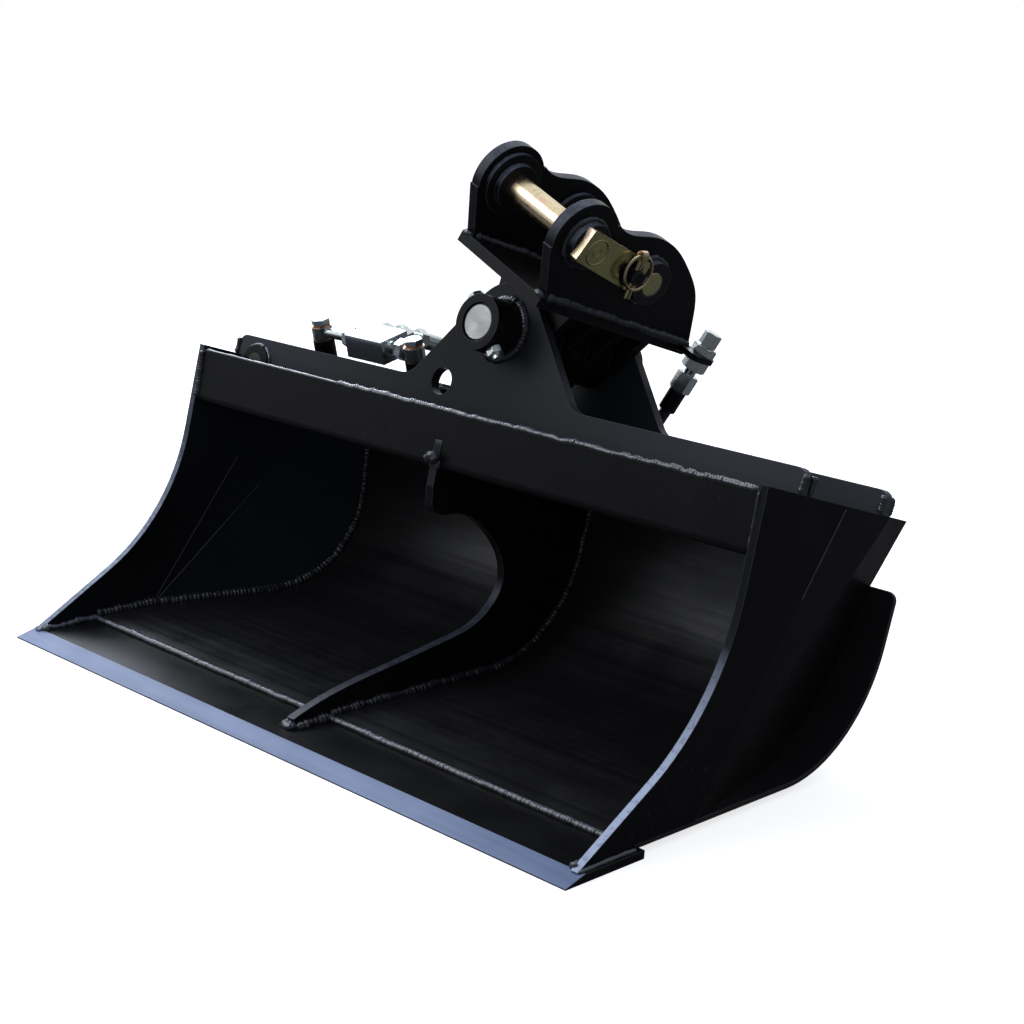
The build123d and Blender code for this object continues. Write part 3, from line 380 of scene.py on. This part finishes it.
def turned_face(name):
    """Bare steel pin with turning rings round the tilt axis."""
    n = Finish(name)
    moved = n.add("ShaderNodeMapping", Vector=n.place, Location=-at(0, 0, TILT_RISE))
    level = n.add("ShaderNodeMapping", Vector=moved.outputs["Vector"], Rotation=(DECK_SLOPE, 0, 0))
    parts = n.add("ShaderNodeSeparateXYZ", Vector=level.outputs["Vector"]).outputs
    squares = n.math("ADD", n.math("POWER", parts[0], 2.0), n.math("POWER", parts[2], 2.0))
    rings = n.math("SINE", n.math("MULTIPLY", n.math("SQRT", squares), TURNING))
    tone = n.mix(n.noise(45.0, 4.0), grey(0.3), grey(0.52))
    tone = n.mix(n.between(rings, -1.0, 1.0, 0.0, 0.16), tone, grey(0.2))
    tone = n.cover(tone, n.specks(420.0, 0.14), 0.5, grey(0.08))
    normal = n.bump(rings, 0.00004, 0.5, n.soft_edge(METAL_EDGE))
    return n.set(color=tone, roughness=n.varied(0.3, 0.5, 70.0), metallic=0.9, normal=normal)


def rubber(name):
    """Black hose cover with a fine wrapped-cloth imprint and dust."""
    n = Finish(name)
    tone = n.mix(n.noise(30.0, 4.0), grey(0.009), grey(0.02))
    tone = n.cover(tone, n.specks(260.0, 0.12), 0.3, DUST)
    wrap = n.add("ShaderNodeTexWave", Vector=n.stretched((1, 1, 1), (0.6, 0.5, 0.3)), Scale=160.0,
                 Distortion=0.4)
    normal = n.bump(wrap.outputs["Fac"], 0.00012, 0.45)
    return n.set(color=tone, roughness=n.varied(0.45, 0.62, 50.0), normal=normal)


black = paint("black_paint")
shell_paint = paint("rolled_paint", shine=0.6, rolled=True)
# The right side plate's cut edges take their painted highlight over a narrower range of facings.
right_paint = paint("side_paint", shine=0.08, cut_across=ACROSS, edge_highlight_range=(0.62, 0.92))
# The left side plate's inner face gets a pale film, lighter towards the rear and away from the shade
# under the beam: partly dust, partly painted light.
left_paint = paint("left_side_paint", cut_across=ACROSS, edge_wear_and_highlight=0.55,
                   light_film=(body(-490, 150, 150), 0.05, 0.45, (0.02, 0.023, 0.028, 1)))
rib_paint = paint("rib_paint", cut_across=ACROSS, edge_wear_and_highlight=0.07)
blade_paint = paint("blade_paint", bevel=Vector((0, -8.5, 30)).normalized())
# The ears' and bosses' cut edges and steps get the painted highlight too.
ear_paint = paint("ear_paint", cut_across=HEAD_X, edge_wear_and_highlight=0.17)
boss_paint = paint("boss_paint", shine=0.3, cut_across=HEAD_X, edge_wear_and_highlight=0.3)
# The pivot plates' film is a painted reflection, pale away from its darkest place on the front pivot
# plate.
plate_paint = paint("plate_paint", cut_across=BACK, edge_wear_and_highlight=0.2,
                    light_film=(at(-60, 68, 130), 0.02, 0.45, (0.042, 0.047, 0.056, 1)))
bead_paint = weld_paint("bead_paint", shine=0.8)
seam_paint = weld_paint("seam_paint", shine=1.0, up_highlight=0.2)
oiled = metal("oiled_steel", grey(0.03), grey(0.09), (0.3, 0.5))
gold = yellow_zinc("yellow_zinc")
hose_cover = rubber("hose_cover")

by_slot = {
    "black_paint": black,
    "zinc": metal("zinc_plate", (0.52, 0.58, 0.58, 1), (0.88, 0.93, 0.93, 1), (0.08, 0.22),
                  metallic=0.95),
    "gold_zinc": gold,
    "bare_steel": turned_face("bare_steel"),
    "chrome": metal("chrome_plate", grey(0.62, 1.04), grey(0.76, 1.04), (0.05, 0.13),
                    grain=(60, 900, 900), pits=0.05),
    "copper": metal("copper", (0.62, 0.25, 0.12, 1), (0.9, 0.44, 0.24, 1), (0.22, 0.4)),
    "bronze": metal("bronze", (0.4, 0.26, 0.11, 1), (0.6, 0.42, 0.2, 1), (0.25, 0.42)),
    "rubber": hose_cover,
}
own_paint = {
    "shell": shell_paint, "cutting_edge": blade_paint, "side_plate_left": left_paint,
    "side_plate_right": right_paint, "centre_rib": rib_paint, "front_pivot_plate": plate_paint,
    "rear_pivot_plate": plate_paint, "ear_left": ear_paint, "ear_right": ear_paint,
    "inner_bosses_left": boss_paint, "inner_bosses_right": boss_paint,
    "outer_bosses_left": boss_paint, "outer_bosses_right": boss_paint, "anchor_pin": oiled,
}
slot_of = {piece["node"]: piece["material_slot"] for piece in frame["record"]["subparts"]}
for name, node in frame["nodes"].items():
    node.data.materials.clear()
    node.data.materials.append(own_paint.get(name, by_slot[slot_of[name]]))


# Weld beads

# points are in metres and radius in millimetres. outward is the way out of the corner that the bead
# fills, or a function that gives it for a point. lumps is 0 for an even bead and 2 for a rough one.
Bead = namedtuple("Bead", "points outward radius lumps")

BEAD_SIDES = 9
BEAD_STEP = 0.0011         # metres between two cross-sections
BEAD_BODY = 0.88           # how far it reaches under its ripples, in radii
BEAD_DEPTH = 3.6           # most that it reaches into its plates, in millimetres
RIPPLE_PITCH = 0.75        # in radii
RIPPLE_HEIGHT = 0.3        # in radii
RIPPLE_FULL = 5            # radius in millimetres from which the ripples are that high
RIPPLE_LAG = 0.825         # how far they trail at the bead's sides, in radii
WANDER_RATE, SWELL_RATE, LUMP_RATE = 0.045, 0.09, 0.5    # noise steps per millimetre
SWELL = 0.22               # in radii
LUMP = 0.1                 # in radii
SWAY = 0.35                # in radii
MOST_SWAY = 1.5            # in millimetres
END_STEPS = 4              # cross-sections over which an end rounds off
ARC_STEP = 4               # degrees between two points of a circle
LINE_STEPS = 12            # along each part of the shell's line
FOLD_STEPS = 14            # along a fold


def resampled(points, step):
    """Points along a line of points, a fixed step apart."""
    out = [points[0].copy()]
    left = step
    for a, b in zip(points[:-1], points[1:]):
        length = (b - a).length
        while left <= length:
            out.append(a + (b - a) * (left / length))
            left += step
        left -= length
    return out


def tube_faces(rings, sides, first=0):
    """Faces of a closed tube whose cross-sections follow one another from a first vertex."""
    faces = []
    for i in range(rings - 1):
        for k in range(sides):
            a, b = first + i * sides + k, first + i * sides + (k + 1) % sides
            faces.append((a, b, b + sides, a + sides))
    last = first + (rings - 1) * sides
    faces.append(tuple(first + k for k in reversed(range(sides))))
    faces.append(tuple(last + k for k in range(sides)))
    return faces


def mesh_piece(name, vertices, faces, material):
    mesh = bpy.data.meshes.new(name)
    mesh.from_pydata(vertices, [], faces)
    mesh.materials.append(material)
    mesh.polygons.foreach_set("use_smooth", [True] * len(mesh.polygons))
    mesh.update()
    piece = bpy.data.objects.new(name, mesh)
    bpy.context.scene.collection.objects.link(piece)
    return piece


def bead_rings(bead, seed, vertices, faces):
    """Adds one bead: a tube whose ripples are crescents, like stacked weld pools."""
    points, outward, radius, lumps = bead
    line = resampled(points, BEAD_STEP)
    faces += tube_faces(len(line), BEAD_SIDES, len(vertices))
    for i, point in enumerate(line):
        way = (line[min(i + 2, len(line) - 1)] - line[max(i - 2, 0)]).normalized()
        up = outward(point) if callable(outward) else outward
        up = (up - way * up.dot(way)).normalized()
        side = way.cross(up)
        along = i * BEAD_STEP * 1000
        wander = noise.noise(Vector((along * WANDER_RATE, seed * 7.1, 0.3))) * lumps
        swell = 1 + SWELL * noise.noise(Vector((along * SWELL_RATE, 3.7, seed * 5.3))) * (0.6 + lumps)
        ends = min(1, (i + 1) / END_STEPS, (len(line) - i) / END_STEPS)
        for k in range(BEAD_SIDES):
            angle = k * (2 * math.pi / BEAD_SIDES)
            lag = RIPPLE_LAG * (1 - math.cos(angle))
            phase = ((along + lag * radius) / (RIPPLE_PITCH * radius) + wander) % 1
            ripple = RIPPLE_HEIGHT * min(1.0, radius / RIPPLE_FULL) * (1 - phase) ** 2
            reach = radius * swell * (BEAD_BODY + ripple) * math.sqrt(ends)
            reach += radius * LUMP * lumps * noise.noise(Vector((along * LUMP_RATE, k * 1.3, seed)))
            inner = min(1.0, max(0.0, 0.35 - math.cos(angle)) * 1.6)
            reach += (min(reach, BEAD_DEPTH) - reach) * inner
            shift = up * math.cos(angle) + side * math.sin(angle)
            sway = side * wander * min(radius * SWAY, MOST_SWAY)
            vertices.append(point + (shift * reach + sway) / 1000)


def welds(name, on, beads, material=bead_paint):
    """One piece with several beads. A bead's place in the list seeds its noise."""
    vertices, faces = [], []
    for i, bead in enumerate(beads):
        bead_rings(bead, i + 1.37 * len(name), vertices, faces)
    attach(mesh_piece(name, vertices, faces, material), on)


def circle(centre, axis, radius, start=0.0, end=360.0, zero=HEAD_UP):
    """Points round a circle, radius in millimetres, angles in degrees from the way called zero."""
    axis = axis.normalized()
    zero = (zero - axis * zero.dot(axis)).normalized()
    side = axis.cross(zero)
    count = int((end - start) / ARC_STEP)
    angles = [math.radians(start + (end - start) * i / count) for i in range(count + 1)]
    return [centre + (zero * math.cos(a) + side * math.sin(a)) * radius / 1000 for a in angles]


def ring_weld(centre, axis, ring, radius, lumps, start=0.0, end=360.0):
    """Bead round a boss or pin that stands on a plate."""
    points = circle(centre, axis, ring, start, end)
    axis = axis.normalized()
    return Bead(points, lambda p: (p - centre).normalized() + axis, radius, lumps)


def fold_inset(depth, height):
    """How far a side plate has come in at a depth and height."""
    total = 0.0
    for angle, rate in FOLDS:
        a = math.radians(angle)
        off = (depth - FOLD_START[0]) * math.sin(a) - (height - FOLD_START[1]) * math.cos(a)
        total += max(0.0, off) * rate
    return total


def deck_inset(back):
    """How far a side plate has come in along the deck."""
    return fold_inset(*(Vector((0, *DECK_CORNER)) + BACK * back)[1:])


def fold_line(angle, hand, half, start, length):
    """Line along a fold, on the face of a side plate that lies half a width from the middle."""
    a = math.radians(angle)
    line = []
    for i in range(FOLD_STEPS + 1):
        reach = start + length * i / FOLD_STEPS
        depth, height = FOLD_START[0] + math.cos(a) * reach, FOLD_START[1] + math.sin(a) * reach
        line.append(body(hand * (half - fold_inset(depth, height)), depth, height))
    return line


def shell_line():
    """Depth and height along the shell's inner face, from its front edge to its top."""
    flat = SHELL_FLAT_END - SHELL_FRONT
    line = [(SHELL_FRONT + flat * i / LINE_STEPS, SHELL_FLOOR) for i in range(LINE_STEPS)]
    for i in range(LINE_STEPS + 1):
        a = SHELL_ANGLE * i / LINE_STEPS
        line.append((SHELL_FLAT_END + SHELL_BEND * math.sin(a),
                     SHELL_FLOOR + SHELL_BEND - SHELL_BEND * math.cos(a)))
    start = line[-1]
    for i in range(1, LINE_STEPS + 1):
        height = start[1] + (SHELL_TOP - start[1]) * i / LINE_STEPS
        line.append((start[0] + (height - start[1]) / math.tan(SHELL_ANGLE), height))
    return line


def shell_out(hand):
    """Way out of the corner between the shell and a plate whose face looks to that hand."""
    def way(point):
        depth = point.y * 1000 + ORIGIN_DEPTH
        lean = min(SHELL_ANGLE, math.asin(min(1.0, max(0.0, (depth - SHELL_FLAT_END) / SHELL_BEND))))
        return Vector((hand, -math.sin(lean), math.cos(lean)))
    return way


# A bead's ends are a few millimetres off the edges that it runs between.
body_beads = [Bead([body(-SIDE_HALF + 6, SHELL_FRONT - 1, BLADE_TOP + 1.5),
                    body(SIDE_HALF - 6, SHELL_FRONT - 1, BLADE_TOP + 1.5)],
                   Vector((0, -1, 1)), radius=5.2, lumps=0.6)]
seam_beads = []
for hand in BOTH:
    side_seam = [body(hand * (INNER_HALF - fold_inset(d, h)), d, h) for d, h in shell_line()]
    rib_seam = [body(hand * RIB_HALF, d, h) for d, h in shell_line()]
    rib_foot = [body(hand * RIB_HALF, depth, BLADE_TOP) for depth in (RIB_TOE + 3, SHELL_FRONT - 2)]
    inside = [body(hand * INNER_HALF, depth, BLADE_TOP) for depth in (28, SHELL_FRONT)]
    outside = [body(hand * SIDE_HALF, depth, BLADE_TOP) for depth in (26, SHELL_FRONT + 2)]
    body_beads.append(Bead(inside, Vector((-hand, 0, 1)), radius=7.0, lumps=1.8))
    body_beads.append(Bead(outside, Vector((hand, 0, 1)), radius=3.6, lumps=0.5))
    seam_beads.append(Bead(side_seam, shell_out(-hand), radius=8.5, lumps=0.8))
    seam_beads.append(Bead(rib_foot, Vector((hand, 0, 1)), radius=7.5, lumps=1.8))
    seam_beads.append(Bead(rib_seam, shell_out(hand), radius=7.5, lumps=1.0))
for x in SKIDS:
    for hand in BOTH:
        skid_top = [body(x + hand * SKID_HALF, depth, SHELL_UNDER) for depth in SKID_ENDS]
        body_beads.append(Bead(skid_top, Vector((hand, 0, -1)), radius=3.4, lumps=0.5))
round_toe = [body(x, RIB_TOE + depth, BLADE_TOP) for x, depth in ((-9, 4), (0, -3), (9, 4))]
body_beads.append(Bead(round_toe, Vector((0, -1, 1)), radius=7.5, lumps=2.0))
welds("body_welds", "bucket", body_beads)
welds("seam_welds", "bucket", seam_beads, seam_paint)

creases = []
for angle, _ in FOLDS:
    for hand in BOTH:
        inner = fold_line(angle, hand, INNER_HALF, 4, 250)
        creases.append(Bead(inner, ACROSS * -hand, radius=0.9, lumps=0.0))
for hand in BOTH:
    outer = fold_line(FOLDS[0][0], hand, SIDE_HALF, 285, 120)
    creases.append(Bead(outer, ACROSS * hand, radius=1.1, lumps=0.9))
welds("fold_creases", "bucket", creases)

# The bead along the beam's top edge is thin at its left end.
BEAM_THIN_END = -205
full_line = [at(BEAM_THIN_END, 3.5, -0.5), at(INNER_HALF - 4, 3.5, -0.5)]
thin_line = [at(4 - INNER_HALF, 3, -0.5), at(BEAM_THIN_END, 3, -0.5)]
beam_out = Vector((0, -0.5, 1))
beam_beads = [Bead(full_line, beam_out, radius=4.8, lumps=1.2),
              Bead(thin_line, beam_out, radius=3.0, lumps=0.4)]
for hand in BOTH:
    side = hand * INNER_HALF
    beam_end = [at(side, 0, -2), at(side, 7.4, -68)]
    end_radius = 2.2 if hand > 0 else 5.0
    beam_beads.append(Bead(beam_end, Vector((-hand, -1, 0)), end_radius, lumps=0.8))
    for front, rear in ((FRONT_OUTER, FRONT_INNER), (REAR_INNER, REAR_OUTER)):
        end = hand * (SIDE_HALF - deck_inset(front))
        front_end = [at(end - hand * 2, front, rise) for rise in (BEAM_DROP, PLATE_END_TOP)]
        rear_end = [at(end, rear, rise) for rise in (BEAM_DROP, PLATE_END_TOP)]
        beam_beads.append(Bead(front_end, Vector((hand, -1, 0)), radius=4.6, lumps=0.9))
        beam_beads.append(Bead(rear_end, Vector((hand, 1, 0)), radius=4.6, lumps=0.9))
    for back, face in ((FRONT_OUTER, -1), (FRONT_INNER, 1), (REAR_INNER, -1), (REAR_OUTER, 1)):
        half = INNER_HALF - deck_inset(back) - 3
        foot = [at(0, back, -DECK_DEPTH), at(hand * half, back, -DECK_DEPTH)]
        beam_beads.append(Bead(foot, BACK * face + RISE, radius=4.4, lumps=0.4))
rib_top = [at(-9, 0, -66), at(-3, -2, -60), at(3, -2, -60), at(9, 0, -66)]
beam_beads.append(Bead(rib_top, Vector((0, -1, 0.2)), radius=7.5, lumps=1.8))
for hand in BOTH:
    rib_side = [at(hand * RIB_HALF, 6.5, -63), at(hand * RIB_HALF, 7.8, -74)]
    beam_beads.append(Bead(rib_side, Vector((hand, -1, 0)), radius=4.2, lumps=1.0))
welds("beam_welds", "bucket", beam_beads)

pivot_beads = [
    ring_weld(at(0, FRONT_OUTER, TILT_RISE), -BACK, PIVOT_BOSS_RADIUS + 2, radius=6.2, lumps=0.7),
    ring_weld(at(0, REAR_OUTER, TILT_RISE), BACK, PIVOT_BOSS_RADIUS + 1, radius=4.6, lumps=0.5),
]
for back, way in ((FRONT_OUTER, -BACK), (REAR_OUTER, BACK), (FRONT_INNER, BACK), (REAR_INNER, -BACK)):
    centre = at(ANCHOR, back, CYLINDER_RISE)
    pivot_beads.append(ring_weld(centre, way, ANCHOR_BOSS_RADIUS + 0.5, radius=3.6, lumps=0.5))
welds("pivot_welds", "bucket", pivot_beads)

head_beads = []
for hand in BOTH:
    for x, way, radius, lumps in ((EAR_INNER, -hand, 6.6, 0.7), (EAR_OUTER - 1, hand, 7.0, 0.6)):
        ear_foot = [head(hand * x, EAR_FRONT, BASE_TOP), head(hand * x, EAR_REAR, BASE_TOP)]
        head_beads.append(Bead(ear_foot, HEAD_X * way + HEAD_UP, radius, lumps))
    ear_end = circle(head(hand * EAR_MIDDLE, EAR_FRONT, BASE_TOP), HEAD_UP, 8, -60, 60, -BACK)
    head_beads.append(Bead(ear_end, HEAD_UP - BACK, radius=4.4, lumps=1.0))
    for hitch in (FRONT_HITCH, REAR_HITCH):
        centre = head(hand * EAR_OUTER, *hitch)
        head_beads.append(ring_weld(centre, HEAD_X * hand, OUTER_BOSS_RADIUS + 1, radius=4.4, lumps=0.7))
for hand in BOTH:
    for rise, way, radius in ((BASE_TOP, HEAD_UP, 3.2), (TAB_UNDER, HEAD_X * hand - HEAD_UP, 3.6)):
        tab_root = [head(hand * EAR_OUTER, TAB_FRONT, rise), head(hand * EAR_OUTER, TAB_REAR, rise)]
        head_beads.append(Bead(tab_root, way, radius, lumps=0.8))
welds("head_welds", "head", head_beads)

# Each face of the webs and of the tilt arms has a bead under the base plate and one round the hub.
HUB_RING = 43.0
WEBS = ((85.5, 99.5), (238.5, 252.5))
ARMS = ((136.0, 150.0), (188.0, 202.0))
web_beads = []
for plates, under_radius, hub_radius, hub_arc in ((WEBS, 4.6, 4.4, (-88, 88)),
                                                  (ARMS, 4.2, 4.2, (0.0, 360.0))):
    for plate in plates:
        for back, way in zip(plate, (-BACK, BACK)):
            under = [head(-EAR_INNER, back, BASE_UNDER), head(EAR_INNER, back, BASE_UNDER)]
            web_beads.append(Bead(under, way - HEAD_UP, under_radius, lumps=0.5))
            web_beads.append(ring_weld(head(0, back, 0), way, HUB_RING, hub_radius, 0.5, *hub_arc))
# These beads take the plain black paint, without the bead paint's painted highlight: painted shade, as
# little light reaches them under the base plate.
welds("web_welds", "head", web_beads, black)

base = at(BARREL_BASE + 1, CYLINDER_BACK, CYLINDER_RISE)
gland = at(BARREL_END - 1, CYLINDER_BACK, CYLINDER_RISE)
welds("cylinder_welds", "barrel", [
    ring_weld(base, ACROSS, BARREL_RADIUS - 0.5, radius=3.0, lumps=0.3),
    ring_weld(gland, ACROSS, BARREL_RADIUS - 1, radius=2.4, lumps=0.2),
])

# Turned rings on the ends of the hitch pins, where they pass through their flag plates
FLAG_FACE = EAR_OUTER + OUTER_BOSS + FLAG_PLATE
for side, hand, hitch in (("right", 1, FRONT_HITCH), ("left", -1, REAR_HITCH)):
    centre = head(hand * (FLAG_FACE + 0.2), *hitch)
    rings = [ring_weld(centre, HEAD_X * hand, HITCH_PIN_RADIUS - 1, radius=1.3, lumps=0.1),
             ring_weld(centre, HEAD_X * hand, 6.0, radius=0.8, lumps=0.0)]
    welds(f"pin_ring_{side}", "head", rings, gold)


# Hoses

HOSE_DIAMETER = 0.016
HOSE_SIDES = 20


def smooth_line(name, points):
    """Points along the NURBS curve of a route."""
    curve = bpy.data.curves.new(name, "CURVE")
    curve.dimensions = "3D"
    curve.resolution_u = 16
    spline = curve.splines.new("NURBS")
    spline.points.add(len(points) - 1)
    for control, point in zip(spline.points, points):
        control.co = (*point, 1)
    spline.order_u = 3
    spline.use_endpoint_u = True
    carrier = bpy.data.objects.new(name, curve)
    bpy.context.scene.collection.objects.link(carrier)
    bpy.context.view_layer.update()
    mesh = bpy.data.meshes.new_from_object(carrier)
    line = [v.co.copy() for v in mesh.vertices]
    bpy.data.objects.remove(carrier)
    bpy.data.meshes.remove(mesh)
    return line


def tube(name, line, radius, material):
    """Round tube along a line of points, with its cross-section carried along without twist."""
    vertices = []
    up = (line[1] - line[0]).normalized().orthogonal().normalized()
    for i, point in enumerate(line):
        way = (line[min(i + 1, len(line) - 1)] - line[max(i - 1, 0)]).normalized()
        up = (up - way * up.dot(way)).normalized()
        side = way.cross(up)
        for k in range(HOSE_SIDES):
            a = 2 * math.pi * k / HOSE_SIDES
            vertices.append(point + (up * math.cos(a) + side * math.sin(a)) * radius)
    return mesh_piece(name, vertices, tube_faces(len(line), HOSE_SIDES), material)


def into_bulkhead(hand, straight):
    """The last two points of a route, a straight run in metres up to its bulkhead fitting."""
    end = head(hand * BULKHEAD, BULKHEAD_BACK, HOSE_END_RISE)
    return [end - HEAD_UP * straight, end]


routes = {
    "hose_right": [at(*p) for p in ((-262, 225, 88), (-262, 263.4, 88), (-254.9, 298.5, 74.3),
                                    (-235, 339, 34.7), (-192.4, 349.5, -6.3), (-133.1, 350.2, -15.2),
                                    (-95.5, 346.1, -13.3), (-36.5, 335.6, -14.4), (21.8, 327.4, -12))]
                  + into_bulkhead(1, 0.0549),
    "hose_left": [at(*p) for p in ((-300, 225, 88), (-300, 274.4, 88), (-276.5, 317.6, 78.7),
                                   (-236.2, 342.2, 70.7), (-187.2, 344.3, 68), (-145.7, 330.5, 79.1))]
                 + into_bulkhead(-1, 0.0444),
}
for name, route in routes.items():
    line = smooth_line(name + "_route", route)
    piece = tube(name + "_cover", line, HOSE_DIAMETER / 2, hose_cover)
    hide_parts(name)
    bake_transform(piece)


# Floor, light and camera

FLOOR_SIZE = 40
FLOOR_GLOW = 0.72               # to the camera
FLOOR_GLOW_REFLECTED = 0.06     # share of that in reflections
FLOOR_PLAIN, FLOOR_REFLECTED = grey(0.8), grey(0.07)

WINDOW_WAY = Vector((-0.8, 0.25, 0.5)).normalized()
WINDOW_EDGE = (0.05, 0.8)
ROOM = (0.46, 0.49, 0.56, 1)
SHEEN_DARK, SHEEN_BRIGHT = (0.17, 0.18, 0.2, 1), (0.95, 0.98, 1.0, 1)

# The camera that was fitted to the photograph: its lens and sensor, its place as body() takes it, and
# the ways to its right, up and back
LENS, SENSOR = 67.85, 36
CAMERA_PLACE = (1681.94, -1381.99, 847.71)
CAMERA_AXES = ((0.7207735, 0.6904180, 0.0617131),
               (-0.2116899, 0.1344686, 0.9680421),
               (0.6600552, -0.7108032, 0.2430759))


def stage_floor():
    """Floor that is white to the camera, keeps the object's shadow and is dark in reflections."""
    bpy.ops.mesh.primitive_plane_add(size=FLOOR_SIZE, location=(0, 0, 0))
    floor = bpy.context.object
    floor.name = "floor"
    n = Finish("floor")
    rays = n.add("ShaderNodeLightPath").outputs
    reflected = n.math("MULTIPLY", rays["Is Glossy Ray"], FLOOR_GLOW_REFLECTED)
    seen = n.math("ADD", rays["Is Camera Ray"], reflected)
    tone = n.mix(rays["Is Glossy Ray"], FLOOR_PLAIN, FLOOR_REFLECTED)
    n.set(color=tone, roughness=0.9, specular=0.0)
    n.link(WHITE, n.shader.inputs["Emission Color"])
    n.link(n.math("MULTIPLY", seen, FLOOR_GLOW), n.shader.inputs["Emission Strength"])
    floor.data.materials.append(n.material)


def studio():
    """White to the camera, soft light all round, and a sheen that is bright from the window's side."""
    world = bpy.data.worlds.new("studio")
    bpy.context.scene.world = world
    world.use_nodes = True
    n = Nodes(world.node_tree)
    rays = n.add("ShaderNodeLightPath").outputs
    place = n.add("ShaderNodeTexCoord").outputs["Generated"]
    bright = n.between(n.vector("DOT_PRODUCT", place, WINDOW_WAY), *WINDOW_EDGE, shape="SMOOTHSTEP")
    colour = n.mix(rays["Is Glossy Ray"], ROOM, n.mix(bright, SHEEN_DARK, SHEEN_BRIGHT))
    for ray in ("Is Transmission Ray", "Is Camera Ray"):
        colour = n.mix(rays[ray], colour, WHITE)
    background = n.tree.nodes["Background"]
    n.link(colour, background.inputs["Color"])
    background.inputs["Strength"].default_value = 1.0


def area_light(name, place, target, size, power, colour):
    light = bpy.data.lights.new(name, "AREA")
    light.shape = "RECTANGLE"
    light.size = light.size_y = size
    light.energy = power
    light.color = colour
    lamp = bpy.data.objects.new(name, light)
    bpy.context.scene.collection.objects.link(lamp)
    lamp.location = place
    lamp.rotation_euler = (Vector(target) - Vector(place)).to_track_quat("-Z", "Y").to_euler()


def camera():
    data = bpy.data.cameras.new("camera")
    data.sensor_width = SENSOR
    data.lens = LENS
    data.clip_end = 100
    eye = bpy.data.objects.new("camera", data)
    bpy.context.scene.collection.objects.link(eye)
    turn = Matrix([Vector(axis).normalized() for axis in CAMERA_AXES]).transposed()
    eye.matrix_world = Matrix.Translation(body(*CAMERA_PLACE)) @ turn.to_4x4()
    bpy.context.scene.camera = eye


stage_floor()
studio()
area_light("key", place=(-1.6, -2.2, 2.6), target=(0, 0, 0.3), size=2.2, power=40,
           colour=(0.93, 0.96, 1))
area_light("window", place=(-2.2, 1.0, 1.9), target=(0, -0.2, 0.1), size=2.0, power=60,
           colour=(0.8, 0.87, 1))
camera()
bpy.context.scene.view_settings.view_transform = "Standard"
